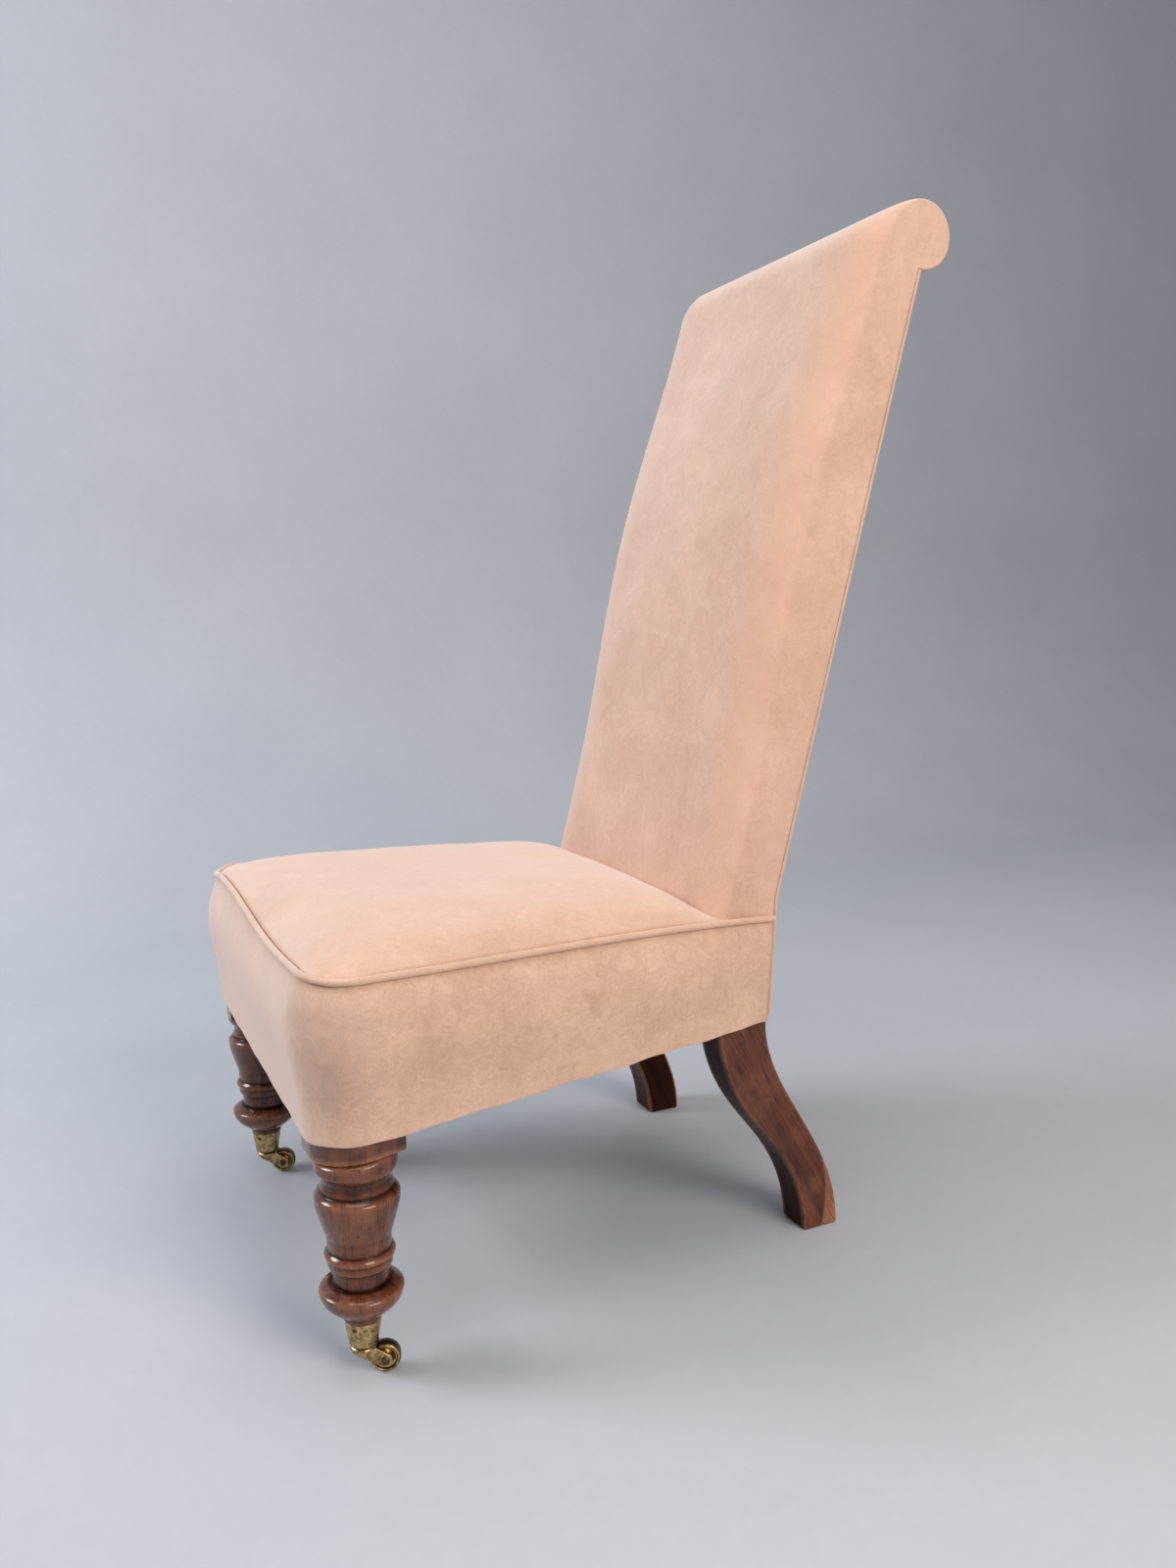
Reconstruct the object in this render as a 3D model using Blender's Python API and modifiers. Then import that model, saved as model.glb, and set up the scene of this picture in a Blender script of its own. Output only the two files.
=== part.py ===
"""Slipper chair: a low sprung seat on turned front legs with brass casters and sabre rear legs,
and a tall narrow raked back whose top rolls over backwards. The chair faces -Y and stands on z = 0."""
import bpy
import bmesh
from math import atan2, cos, hypot, pi, radians, sin, sqrt
from mathutils import Matrix, Vector

# Seat, as covered
SEAT_FRONT_WIDTH = 0.482
SEAT_DEPTH = 0.459
SEAT_CORNER_RADIUS = 0.045
SEAT_EDGE_HEIGHT = 0.347
SEAT_EDGE_FALL = 0.010
SEAT_LOWER_EDGE = 0.211
SEAT_LOWER_RISE = 0.0234
SEAT_CROWN = 0.030
SEAT_CROWN_RUN = 0.12
SEAT_FALL_START = 0.30
BORDER_BULGE = 0.0105
BORDER_REAR_SHARE = 0.1
PIPING_DIAMETER = 0.006
PIPING_PROUD = 0.0005

# Back, as covered
BACK_WIDTH = 0.370
BACK_RAKE = radians(14.2)
BACK_BEND_HEIGHT = 0.358
BACK_BEND_LEAN = 0.0065
BACK_LOWER_THICKNESS = 0.061
BACK_UPPER_THICKNESS = 0.057
BACK_EDGE_RADIUS = 0.017
BACK_LENGTH_CROWN = 0.013
BACK_WIDTH_CROWN = 0.006
SCROLL_RADIUS = 0.0325
SCROLL_CENTRE_HEIGHT = 0.9835
SCROLL_SETBACK = 0.006
SCROLL_EDGE_RADIUS = 0.004

# Covers and layers
COVER = 0.003
OUTSIDE_COVER = 0.003
COVER_TURN_IN = 0.0012
HEM_EDGE_RADIUS = 0.001
HEM_DEPTH = 0.006
WEB_WIDTH = 0.050
WEB_THICKNESS = 0.0015
HESSIAN = 0.001
HESSIAN_RISE = 0.012
BOTTOMING = 0.001
SCROLL_PADDING = 0.007

# Frame
RAIL_TOP = 0.285
RAIL_THICKNESS = 0.026
POST_WIDTH = 0.039
POST_DEPTH = 0.032
LEG_TOP_DEPTH = 0.051
FOOT_DEPTH = 0.0405
FOOT_SWEEP = 0.0945
POST_CHAMFER = 0.0012
CREST_DEPTH = 0.045
STAY_RAIL_FOOT = 0.024
STAY_RAIL_HEIGHT = 0.040
TENON_LENGTH = 0.016
TENON_THICKNESS = 0.010
TENON_HEIGHT = 0.026

# Turned front leg
LEG_BLOCK_WIDTH = 0.067
LEG_BLOCK_DEPTH = 0.072
LEG_BLOCK_FOOT = 0.197
LEG_DRUM_FOOT = 0.181
LEG_TURNING_FOOT = 0.0425
LEG_AXIS_BEHIND_FRONT = 0.042
LEG_AXIS_INSIDE_EDGE = 0.0335
LEG_DRUM_RADIUS = 0.0343
LEG_URN_RADIUS = 0.0352
LEG_WAIST_RADIUS = 0.026
LEG_RING_RADIUS = 0.0292
LEG_NECK_RADIUS = 0.0232
LEG_BULB_RADIUS = 0.0351
LEG_ANKLE_RADIUS = 0.017

# Caster
SOCKET_TOP = 0.0498
SOCKET_FOOT = 0.0268
SOCKET_TOP_RADIUS = 0.0156
SOCKET_FOOT_RADIUS = 0.0122
SOCKET_WALL = 0.0014
SOCKET_FLOOR = 0.003
PINTLE_RADIUS = 0.0035
PINTLE_HEAD_RADIUS = 0.0054
PINTLE_HEAD_HEIGHT = 0.002
COLLAR_RADIUS = 0.0114
COLLAR_HEIGHT = 0.0048
WHEEL_RADIUS = 0.013
WHEEL_WIDTH = 0.011
WHEEL_BORE = 0.0024
AXLE_RADIUS = 0.0021
AXLE_HEAD_RADIUS = 0.0036
AXLE_HEAD_HEIGHT = 0.0011
CASTER_TRAIL = 0.0178
CASTER_HEADING = radians(72)
CHEEK_RADIUS = 0.006
CHEEK_THICKNESS = 0.0026
SCREW_HEAD_RADIUS = 0.0025
SCREW_SHANK_RADIUS = 0.0011
SCREW_HEIGHT = 0.0452
SCREW_DEPTH = 0.0065
SCREW_HEADING = radians(-44)

# Springs
SPRING_WIRE = 0.003
SPRING_END_RADIUS = 0.034
SPRING_WAIST_RADIUS = 0.022
SPRING_TURNS = 4
SPRING_SPREAD = 0.080
SPRING_FRONT_ROW = 0.125
SPRING_REAR_ROW = 0.305

# Clearances
GAP = 0.0003
SOFT_GAP = 0.0006
RUNNING_GAP = 0.0006
WHEEL_GAP = 0.001

POINTS_PER_CURL = 8
ROUND_STEPS = 24
SMALL_STEPS = 16
COLUMNS = [-1, -0.94, -0.8, -0.55, -0.25, 0.25, 0.55, 0.8, 0.94, 1]

for old in list(bpy.data.objects):
    bpy.data.objects.remove(old, do_unlink=True)
parts = bpy.data.collections.new("slipper_chair")
cutters = bpy.data.collections.new("cutters")
for collection in (parts, cutters):
    bpy.context.scene.collection.children.link(collection)


def finish(name, colour, roughness, metallic=0.0):
    """A Principled material with one colour."""
    made = bpy.data.materials.new(name)
    made.use_nodes = True
    shader = made.node_tree.nodes["Principled BSDF"]
    shader.inputs["Base Color"].default_value = (*colour, 1)
    shader.inputs["Roughness"].default_value = roughness
    shader.inputs["Metallic"].default_value = metallic
    return made


peach_velvet = finish("peach_velvet", (0.78, 0.53, 0.39), 0.9)
mahogany = finish("mahogany", (0.11, 0.034, 0.019), 0.3)
beech = finish("beech", (0.52, 0.34, 0.19), 0.7)
brass = finish("brass", (0.34, 0.22, 0.07), 0.35, 1.0)
steel_wire = finish("steel_wire", (0.18, 0.17, 0.16), 0.4, 1.0)
jute_web = finish("jute_web", (0.42, 0.30, 0.17), 0.95)
hessian_cloth = finish("hessian_cloth", (0.46, 0.35, 0.21), 0.95)
hair_stuffing = finish("hair_stuffing", (0.30, 0.24, 0.18), 1.0)
black_cotton = finish("black_cotton", (0.03, 0.03, 0.03), 0.95)


def show(obj, surface, group=None):
    """Put an object among the parts with its finish and its parent."""
    obj.data.materials.append(surface)
    parts.objects.link(obj)
    obj.parent = group
    return obj


def hide(obj, group=None):
    """Put an object among the cutters, out of renders."""
    cutters.objects.link(obj)
    obj.parent = group
    obj.hide_render = True
    obj.display_type = "WIRE"
    return obj


def loft(name, rings, turn_at=None):
    """A closed body skinned over closed rings of equal count, with a cap at each end. Where turn_at is
    given, the faces are split in triangles whose slope turns over at that point of the ring, so that
    two soft layers that lie on each other have the same facets."""
    bm = bmesh.new()
    levels = [[bm.verts.new(point) for point in ring] for ring in rings]
    count = len(rings[0])
    for near, far in zip(levels, levels[1:]):
        for i in range(count):
            j = (i + 1) % count
            if turn_at is None:
                bm.faces.new((near[i], near[j], far[j], far[i]))
            elif i < turn_at:
                bm.faces.new((near[i], near[j], far[j]))
                bm.faces.new((near[i], far[j], far[i]))
            else:
                bm.faces.new((near[i], near[j], far[i]))
                bm.faces.new((near[j], far[j], far[i]))
    bm.faces.new(levels[0])
    bm.faces.new(levels[-1])
    bmesh.ops.recalc_face_normals(bm, faces=bm.faces)
    mesh = bpy.data.meshes.new(name)
    bm.to_mesh(mesh)
    bm.free()
    return bpy.data.objects.new(name, mesh)


def smooth(obj, angle=40):
    """Shade round faces smooth and keep the edges sharper than the angle."""
    obj.data.shade_smooth()
    obj.data.set_sharp_from_angle(angle=radians(angle))
    return obj


def flat_piece(name, outline, low, high, to_frame):
    """A filled outline of (u, v) points made as thick as low to high along w; to_frame turns u, v, w
    into the chair's axes."""
    curve = bpy.data.curves.new(name, "CURVE")
    curve.dimensions = "2D"
    curve.fill_mode = "BOTH"
    curve.extrude = abs(high - low) / 2
    spline = curve.splines.new("POLY")
    spline.points.add(len(outline) - 1)
    for point, (u, v) in zip(spline.points, outline):
        point.co = (u, v, 0, 1)
    spline.use_cyclic_u = True
    sketch = bpy.data.objects.new(name, curve)
    mesh = bpy.data.meshes.new_from_object(sketch)
    bpy.data.objects.remove(sketch)
    bpy.data.curves.remove(curve)
    bm = bmesh.new()
    bm.from_mesh(mesh)
    bmesh.ops.remove_doubles(bm, verts=bm.verts, dist=0.00001)
    bmesh.ops.recalc_face_normals(bm, faces=bm.faces)
    bm.to_mesh(mesh)
    bm.free()
    mesh.transform(to_frame @ Matrix.Translation((0, 0, (low + high) / 2)))
    mesh.name = name
    return bpy.data.objects.new(name, mesh)


def across(name, outline, left, right):
    """A side outline of (y, z) points carried straight across from x = left to x = right."""
    sideways = Matrix(((0, 0, 1, 0), (1, 0, 0, 0), (0, 1, 0, 0), (0, 0, 0, 1)))
    return flat_piece(name, outline, left, right, sideways)


def block_along(name, start, end, sideways, width, height):
    """A cube stretched from start to end, width along the sideways direction and height square to both."""
    bm = bmesh.new()
    bmesh.ops.create_cube(bm, size=1)
    mesh = bpy.data.meshes.new(name)
    bm.to_mesh(mesh)
    bm.free()
    start, end, sideways = Vector(start), Vector(end), Vector(sideways)
    upright = (end - start).normalized().cross(sideways)
    turn = Matrix((end - start, sideways * width, upright * height)).transposed().to_4x4()
    mesh.transform(Matrix.Translation((start + end) / 2) @ turn)
    return bpy.data.objects.new(name, mesh)


def turned(name, profile, steps, closed=False):
    """A profile of (radius, height) points, listed from the top down its outer side, turned about Z."""
    mesh = bpy.data.meshes.new(name)
    edges = [(i, i + 1) for i in range(len(profile) - 1)]
    if closed:
        edges.append((len(profile) - 1, 0))
    mesh.from_pydata([(radius, 0, z) for radius, z in profile], edges, [])
    obj = bpy.data.objects.new(name, mesh)
    lathe = obj.modifiers.new("lathe", "SCREW")
    lathe.steps = lathe.render_steps = steps
    lathe.use_merge_vertices = True
    lathe.merge_threshold = 0.00001
    lathe.use_smooth_shade = True
    return obj


def combine(obj, other, operation):
    """Join another object to this one, or cut it away."""
    change = obj.modifiers.new(other.name, "BOOLEAN")
    change.operation = operation
    change.object = other


# Outline of the seat. Depths are measured back from the front plane, and placed by FRONT_Y.
taper = (SEAT_FRONT_WIDTH - BACK_WIDTH) / 2 / SEAT_DEPTH
slant = hypot(1, taper)
corner_x = SEAT_FRONT_WIDTH / 2 - (taper + slant) * SEAT_CORNER_RADIUS
corner_angles = [-pi / 2 + (pi / 2 + atan2(taper, 1)) * i / 6 for i in range(7)]
piping_radius = PIPING_DIAMETER / 2
cover_inset = COVER + GAP
rear_lower_edge = SEAT_LOWER_EDGE + SEAT_LOWER_RISE
bend_y = SEAT_DEPTH + BACK_BEND_LEAN


def half_width(depth, inset):
    """Half the seat's width at a depth, with the outline moved in by the inset."""
    corner = SEAT_CORNER_RADIUS - inset
    if depth < SEAT_CORNER_RADIUS + corner * taper / slant:
        return corner_x + sqrt(max(corner**2 - (SEAT_CORNER_RADIUS - depth)**2, 0))
    return SEAT_FRONT_WIDTH / 2 - taper * depth - slant * inset


def edge_height(depth):
    """Height of the piped edge, level in front and falling towards the back."""
    return SEAT_EDGE_HEIGHT - SEAT_EDGE_FALL * (depth / SEAT_DEPTH)**4


def lower_edge(depth):
    """Height of the cover's lower edge, which rises towards the back."""
    return SEAT_LOWER_EDGE + SEAT_LOWER_RISE * depth / SEAT_DEPTH


def rear_depth(z):
    """Depth of the outside back below its bend."""
    return SEAT_DEPTH + BACK_BEND_LEAN * (z - rear_lower_edge) / (BACK_BEND_HEIGHT - rear_lower_edge)


# Frame of the raked back: t runs up the rake from the bend, n forward from the outside back.
scroll_t = (SCROLL_CENTRE_HEIGHT - BACK_BEND_HEIGHT - SCROLL_SETBACK * sin(BACK_RAKE)) / cos(BACK_RAKE)
scroll_depth = bend_y + scroll_t * sin(BACK_RAKE) - SCROLL_SETBACK * cos(BACK_RAKE)
FRONT_Y = (BORDER_BULGE - scroll_depth - SCROLL_RADIUS) / 2


def raked(t, n):
    """(y, z) of a point t up the rake and n in front of the outside back."""
    return (FRONT_Y + bend_y + t * sin(BACK_RAKE) - n * cos(BACK_RAKE),
            BACK_BEND_HEIGHT + t * cos(BACK_RAKE) + n * sin(BACK_RAKE))


scroll_y, scroll_z = raked(scroll_t, SCROLL_SETBACK)
side_n = OUTSIDE_COVER + GAP
post_rear_n = side_n + COVER_TURN_IN + GAP
post_front_n = post_rear_n + POST_DEPTH
web_n = post_front_n + GAP
hessian_n = web_n + WEB_THICKNESS + GAP
stuffing_n = hessian_n + HESSIAN + SOFT_GAP
crest_radius = SCROLL_RADIUS - COVER - SOFT_GAP - SCROLL_PADDING - (stuffing_n - post_front_n)
post_outer = BACK_WIDTH / 2 - COVER - GAP
post_inner = post_outer - POST_WIDTH
post_top_t = scroll_t - CREST_DEPTH
back_foot = edge_height(SEAT_DEPTH) + piping_radius + 2 * GAP


def foot_t(z, n):
    """How far up the rake a point n in front of the outside back has the height z."""
    return (z - BACK_BEND_HEIGHT - n * sin(BACK_RAKE)) / cos(BACK_RAKE)


def hook(low_t, low_n, high_n, radius, end_n, front_steps=6, bend_steps=4, roll_steps=9):
    """Side outline up the front of the back, over the top and round the roll to the line n = end_n.
    The front line leaves (low_t, low_n) for (scroll_t, high_n); the bend is the arc that touches both
    that line and the top of the roll. Each entry is (y, z, outward y, outward z, share of the front)."""
    y, z = raked(low_t, low_n)
    high_y, high_z = raked(scroll_t, high_n)
    length = hypot(high_y - y, high_z - z)
    out_y, out_z = -(high_z - z) / length, (high_y - y) / length
    bend = ((y - scroll_y) * out_y + (z - scroll_z - radius) * out_z) / (1 - out_z)
    bend_z = scroll_z + radius - bend
    touch_y, touch_z = scroll_y + bend * out_y, bend_z + bend * out_z
    points = []
    for i in range(front_steps):
        s = i / front_steps
        points.append((y + (touch_y - y) * s, z + (touch_z - z) * s, out_y, out_z, s))
    start = atan2(out_z, out_y)
    for i in range(bend_steps):
        a = start + (pi / 2 - start) * i / bend_steps
        points.append((scroll_y + bend * cos(a), bend_z + bend * sin(a), cos(a), sin(a), 1 + i / bend_steps))
    in_n = end_n - SCROLL_SETBACK
    down = sqrt(radius**2 - in_n**2)
    end = atan2(-down * cos(BACK_RAKE) + in_n * sin(BACK_RAKE),
                -down * sin(BACK_RAKE) - in_n * cos(BACK_RAKE))
    for i in range(roll_steps + 1):
        a = pi / 2 + (end - pi / 2) * i / roll_steps
        points.append((scroll_y + radius * cos(a), scroll_z + radius * sin(a), cos(a), sin(a), 2))
    return points


def back_form(name, inset, rear_tail):
    """The upholstered back as one body: its side outline carried across, crowned in front, with the
    side edges rounded by a radius that runs out towards the roll. rear_tail closes the outline."""
    low_n = BACK_LOWER_THICKNESS - inset
    foot = back_foot if inset == 0 else back_foot - COVER
    entries = hook(foot_t(foot, low_n), low_n, BACK_UPPER_THICKNESS - inset, SCROLL_RADIUS - inset,
                   side_n if inset == 0 else side_n + COVER_TURN_IN)
    half = BACK_WIDTH / 2 - inset

    def edge_radius(share):
        if share < 1:
            grown = BACK_EDGE_RADIUS * (0.35 + 0.65 * min(1, share * 4))
        else:
            grown = BACK_EDGE_RADIUS + (SCROLL_EDGE_RADIUS - BACK_EDGE_RADIUS) * (share - 1)
        return max(grown - inset, HEM_EDGE_RADIUS / 2)

    def ring(side, turn, middle):
        """One section: turn goes from 0, where the rounding starts, to a right angle at the side face."""
        points = []
        for y, z, out_y, out_z, share in entries:
            radius = edge_radius(share)
            x = side * (half - radius * (1 - sin(turn))) if middle is None else middle * (half - radius)
            spread = 1 - (x / half)**2
            swell = sin(pi * share**1.3)**2 if share < 1 else 0
            swell *= BACK_LENGTH_CROWN + BACK_WIDTH_CROWN * spread
            swell -= radius * (1 - cos(turn)) if middle is None else 0
            points.append((x, y + swell * out_y, z + swell * out_z))
        x = side * (half - HEM_EDGE_RADIUS / 2 * (1 - sin(turn))) if middle is None else middle * half
        points.extend((x, y, z) for y, z in rear_tail)
        return points

    turns = [pi / 2 * i / 3 for i in range(4)]
    rings = [ring(-1, turn, None) for turn in reversed(turns)]
    rings += [ring(1, 0, middle) for middle in (-0.5, 0, 0.5)]
    rings += [ring(1, turn, None) for turn in turns]
    return loft(name, rings, len(entries))


def back_front_depth(z):
    """Depth of the back's front face just above the seat."""
    low_y, low_z = raked(foot_t(back_foot, BACK_LOWER_THICKNESS), BACK_LOWER_THICKNESS)
    high_y, high_z = raked(scroll_t, BACK_UPPER_THICKNESS)
    return low_y - FRONT_Y + (high_y - low_y) * (z - low_z) / (high_z - low_z)


# Rear posts: sabre leg and back upright in one length of mahogany
leg_rear = SEAT_DEPTH - post_rear_n
leg_front = leg_rear - LEG_TOP_DEPTH
foot_rear = leg_rear + FOOT_SWEEP
foot_front = foot_rear - FOOT_DEPTH


def sabre(top, foot, upper_pull, upper_share, lower_pull, lower_share, steps=8):
    """One edge of the sabre leg from the seat to the floor: a cubic curve whose two handles are set by
    how far they lie behind their ends and by their share of the height."""
    points = []
    for i in range(steps + 1):
        s = i / steps
        weights = ((1 - s)**3, 3 * (1 - s)**2 * s, 3 * (1 - s) * s**2, s**3)
        ys = (top, top + upper_pull, foot + lower_pull, foot)
        zs = (rear_lower_edge, upper_share * rear_lower_edge, lower_share * rear_lower_edge, 0)
        points.append((FRONT_Y + sum(w * y for w, y in zip(weights, ys)),
                       sum(w * z for w, z in zip(weights, zs))))
    return points


def post_front_depth(z):
    """Depth of the post's front edge between the seat's lower edge and the rake."""
    bend_front_y, bend_front_z = raked(post_front_n / 2, post_front_n)
    share = (z - rear_lower_edge) / (bend_front_z - rear_lower_edge)
    return leg_front + (bend_front_y - FRONT_Y - leg_front) * share


rear_edge = sabre(leg_rear, foot_rear, -0.0006, 0.6685, -0.0015, 0.416)
front_edge = sabre(leg_front, foot_front, 0.0105, 0.503, -0.0083, 0.488)
post_outline = [raked(post_top_t, post_rear_n), raked(0, post_rear_n)] + rear_edge + front_edge[::-1]
post_outline += [raked(post_front_n / 2, post_front_n), raked(post_top_t, post_front_n)]
posts = {}
for side, sign in (("left", 1), ("right", -1)):
    post = across(f"rear_post_{side}", post_outline, sign * post_inner, sign * post_outer)
    chamfer = post.modifiers.new("chamfer", "BEVEL")
    chamfer.width = POST_CHAMFER
    chamfer.segments = 1
    chamfer.limit_method = "ANGLE"
    chamfer.angle_limit = radians(50)
    posts[side] = show(post, mahogany)

# Front legs: turned below a block that follows the rounded corner of the seat
leg_depth = LEG_AXIS_BEHIND_FRONT
leg_x = half_width(leg_depth, 0) - LEG_AXIS_INSIDE_EDGE
leg_y = FRONT_Y + leg_depth
block_rear = cover_inset + LEG_BLOCK_DEPTH
block_inner = leg_x - LEG_BLOCK_WIDTH / 2
ankle_fit = SOCKET_WALL + GAP
socket_lean = (SOCKET_TOP_RADIUS - SOCKET_FOOT_RADIUS) / (SOCKET_TOP - SOCKET_FOOT)
pintle_top = SOCKET_FOOT + SOCKET_FLOOR + RUNNING_GAP + PINTLE_HEAD_HEIGHT


def socket_radius(z):
    """Outer radius of the tapered brass socket."""
    return SOCKET_FOOT_RADIUS + socket_lean * (z - SOCKET_FOOT)


def arc(first, last, bulge, steps=4):
    """Points between two profile points, swelled sideways by a sine; the last point is left out."""
    points = []
    for i in range(steps):
        s = i / steps
        points.append((first[0] + (last[0] - first[0]) * s + bulge * sin(pi * s),
                       first[1] + (last[1] - first[1]) * s))
    return points


# Heights of the turning are shares of the length from the ankle inside the socket up to the drum
turning_length = LEG_DRUM_FOOT - LEG_TURNING_FOOT


def turning(share):
    """Height of a feature of the turned leg."""
    return LEG_TURNING_FOOT + turning_length * share


leg_end = pintle_top + RUNNING_GAP
block_overlap = (LEG_BLOCK_FOOT - LEG_DRUM_FOOT) / 5
leg_profile = [(0, LEG_BLOCK_FOOT + block_overlap), (LEG_DRUM_RADIUS, LEG_BLOCK_FOOT + block_overlap)]
leg_profile += arc((LEG_DRUM_RADIUS, turning(1.06)), (LEG_DRUM_RADIUS - 0.0038, turning(0.988)), 0.0014, 3)
cove_top, cove_foot = turning(0.984), turning(0.913)
leg_profile += arc((LEG_WAIST_RADIUS + 0.0023, cove_top), (LEG_WAIST_RADIUS + 0.0025, cove_foot), -0.0017, 3)
leg_profile += [(LEG_URN_RADIUS - 0.0055, turning(0.909)), (LEG_URN_RADIUS - 0.0053, turning(0.893))]
leg_profile += arc((LEG_URN_RADIUS - 0.0047, turning(0.888)), (LEG_URN_RADIUS, turning(0.84)), 0.0018, 3)
leg_profile += arc((LEG_URN_RADIUS, turning(0.84)), (LEG_URN_RADIUS - 0.0022, turning(0.748)), 0.0007, 2)
leg_profile += arc((LEG_URN_RADIUS - 0.0022, turning(0.748)), (LEG_WAIST_RADIUS, turning(0.60)), -0.0008, 3)
leg_profile += [(LEG_WAIST_RADIUS, turning(0.60)), (LEG_WAIST_RADIUS - 0.0004, turning(0.503))]
leg_profile += arc((LEG_WAIST_RADIUS + 0.001, turning(0.498)), (LEG_WAIST_RADIUS + 0.001, turning(0.455)),
                   LEG_RING_RADIUS - LEG_WAIST_RADIUS - 0.001, 4)
leg_profile += [(LEG_WAIST_RADIUS + 0.001, turning(0.45)), (LEG_WAIST_RADIUS + 0.0006, turning(0.41))]
leg_profile += [(LEG_NECK_RADIUS + 0.001, turning(0.40)), (LEG_NECK_RADIUS, turning(0.30))]
leg_profile += [(LEG_NECK_RADIUS + 0.001, turning(0.287))]
leg_profile += arc((LEG_BULB_RADIUS - 0.007, turning(0.281)), (LEG_BULB_RADIUS, turning(0.244)), 0.0025, 3)
leg_profile += arc((LEG_BULB_RADIUS, turning(0.244)), (LEG_ANKLE_RADIUS + 0.0036, turning(0.112)), 0.0015, 5)
leg_profile += [(LEG_ANKLE_RADIUS, turning(0.105)), (SOCKET_TOP_RADIUS, SOCKET_TOP + GAP)]
leg_profile += [(socket_radius(SOCKET_TOP) - ankle_fit, SOCKET_TOP + GAP)]
leg_profile += [(socket_radius(leg_end) - ankle_fit, leg_end), (0, leg_end)]

block_outline = [(block_inner, block_rear), (block_inner, cover_inset)]
for a in corner_angles:
    corner = SEAT_CORNER_RADIUS - cover_inset
    block_outline.append((corner_x + corner * cos(a), SEAT_CORNER_RADIUS + corner * sin(a)))
block_outline.append((half_width(block_rear, cover_inset), block_rear))
legs = {}
for side, sign in (("left", 1), ("right", -1)):
    leg = turned(f"front_leg_{side}", leg_profile, ROUND_STEPS)
    leg.location = (sign * leg_x, leg_y, 0)
    ring = [(sign * (x - leg_x), depth - leg_depth) for x, depth in block_outline]
    block = flat_piece(f"block_{side}", ring, LEG_BLOCK_FOOT, RAIL_TOP, Matrix.Identity(4))
    block.location = leg.location
    combine(leg, hide(block), "UNION")
    legs[side] = show(leg, mahogany)


def rail_foot(depth):
    """Height of a rail's underside: the cover, webbing and bottoming are fixed below it."""
    return lower_edge(depth) + HEM_DEPTH


def level_rail(name, end, front, foot):
    """A rail across the seat, its front face at a depth and its underside at the foot."""
    y, z = FRONT_Y + front + RAIL_THICKNESS / 2, (foot + RAIL_TOP) / 2
    return block_along(name, (-end, y, z), (end, y, z), (0, 1, 0), RAIL_THICKNESS, RAIL_TOP - foot)


# Seat rails and back rails, tenoned into the legs and posts
rail_end = block_inner - GAP
front_rail = level_rail("front_rail", rail_end, cover_inset, rail_foot(cover_inset + RAIL_THICKNESS))
rear_rail_front = post_front_depth(RAIL_TOP) + GAP
rear_end = post_inner - GAP
rear_rail = level_rail("rear_rail", rear_end, rear_rail_front, rail_foot(SEAT_DEPTH))
side_rails = {}
for side, sign in (("left", 1), ("right", -1)):
    ends = []
    for depth_of in (lambda z: block_rear + GAP, lambda z: post_front_depth(z) - GAP):
        ring = []
        for inset, top in ((0, False), (RAIL_THICKNESS, False), (RAIL_THICKNESS, True), (0, True)):
            depth = depth_of(RAIL_TOP if top else rail_foot(leg_front))
            z = RAIL_TOP if top else rail_foot(depth)
            ring.append((sign * half_width(depth, cover_inset + inset), FRONT_Y + depth, z))
        ends.append(ring)
    side_rails[side] = show(loft(f"side_rail_{side}", ends), beech)
stay_outline = [raked(STAY_RAIL_FOOT, post_rear_n), raked(STAY_RAIL_FOOT + STAY_RAIL_HEIGHT, post_rear_n),
                raked(STAY_RAIL_FOOT + STAY_RAIL_HEIGHT, post_front_n), raked(STAY_RAIL_FOOT, post_front_n)]
stay_rail = across("stay_rail", stay_outline, -rear_end, rear_end)
crest_foot_t = post_top_t + GAP
crest_outline = [(y, z) for y, z, *_ in hook(crest_foot_t, post_front_n, post_front_n, crest_radius,
                                             post_rear_n, 1, 3, 7)]
crest_outline.append(raked(crest_foot_t, post_rear_n))
crest_rail = across("crest_rail", crest_outline, -post_outer, post_outer)
for rail in (front_rail, rear_rail, stay_rail, crest_rail):
    show(rail, beech)


def tenon(rail, post, name, start, along, across_dir, width=TENON_THICKNESS, height=TENON_HEIGHT):
    """A tongue on the rail's end that fills a slot in the post, with a gap all round."""
    start, along = Vector(start), Vector(along)

    def bar(bar_name, reach, grow):
        return hide(block_along(bar_name, start - along * RAIL_THICKNESS / 4, start + along * reach, across_dir,
                                width + 2 * grow, height + 2 * grow))

    combine(rail, bar(f"{name}_tongue", TENON_LENGTH, 0), "UNION")
    combine(post, bar(f"{name}_slot", TENON_LENGTH + GAP, GAP), "DIFFERENCE")


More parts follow.
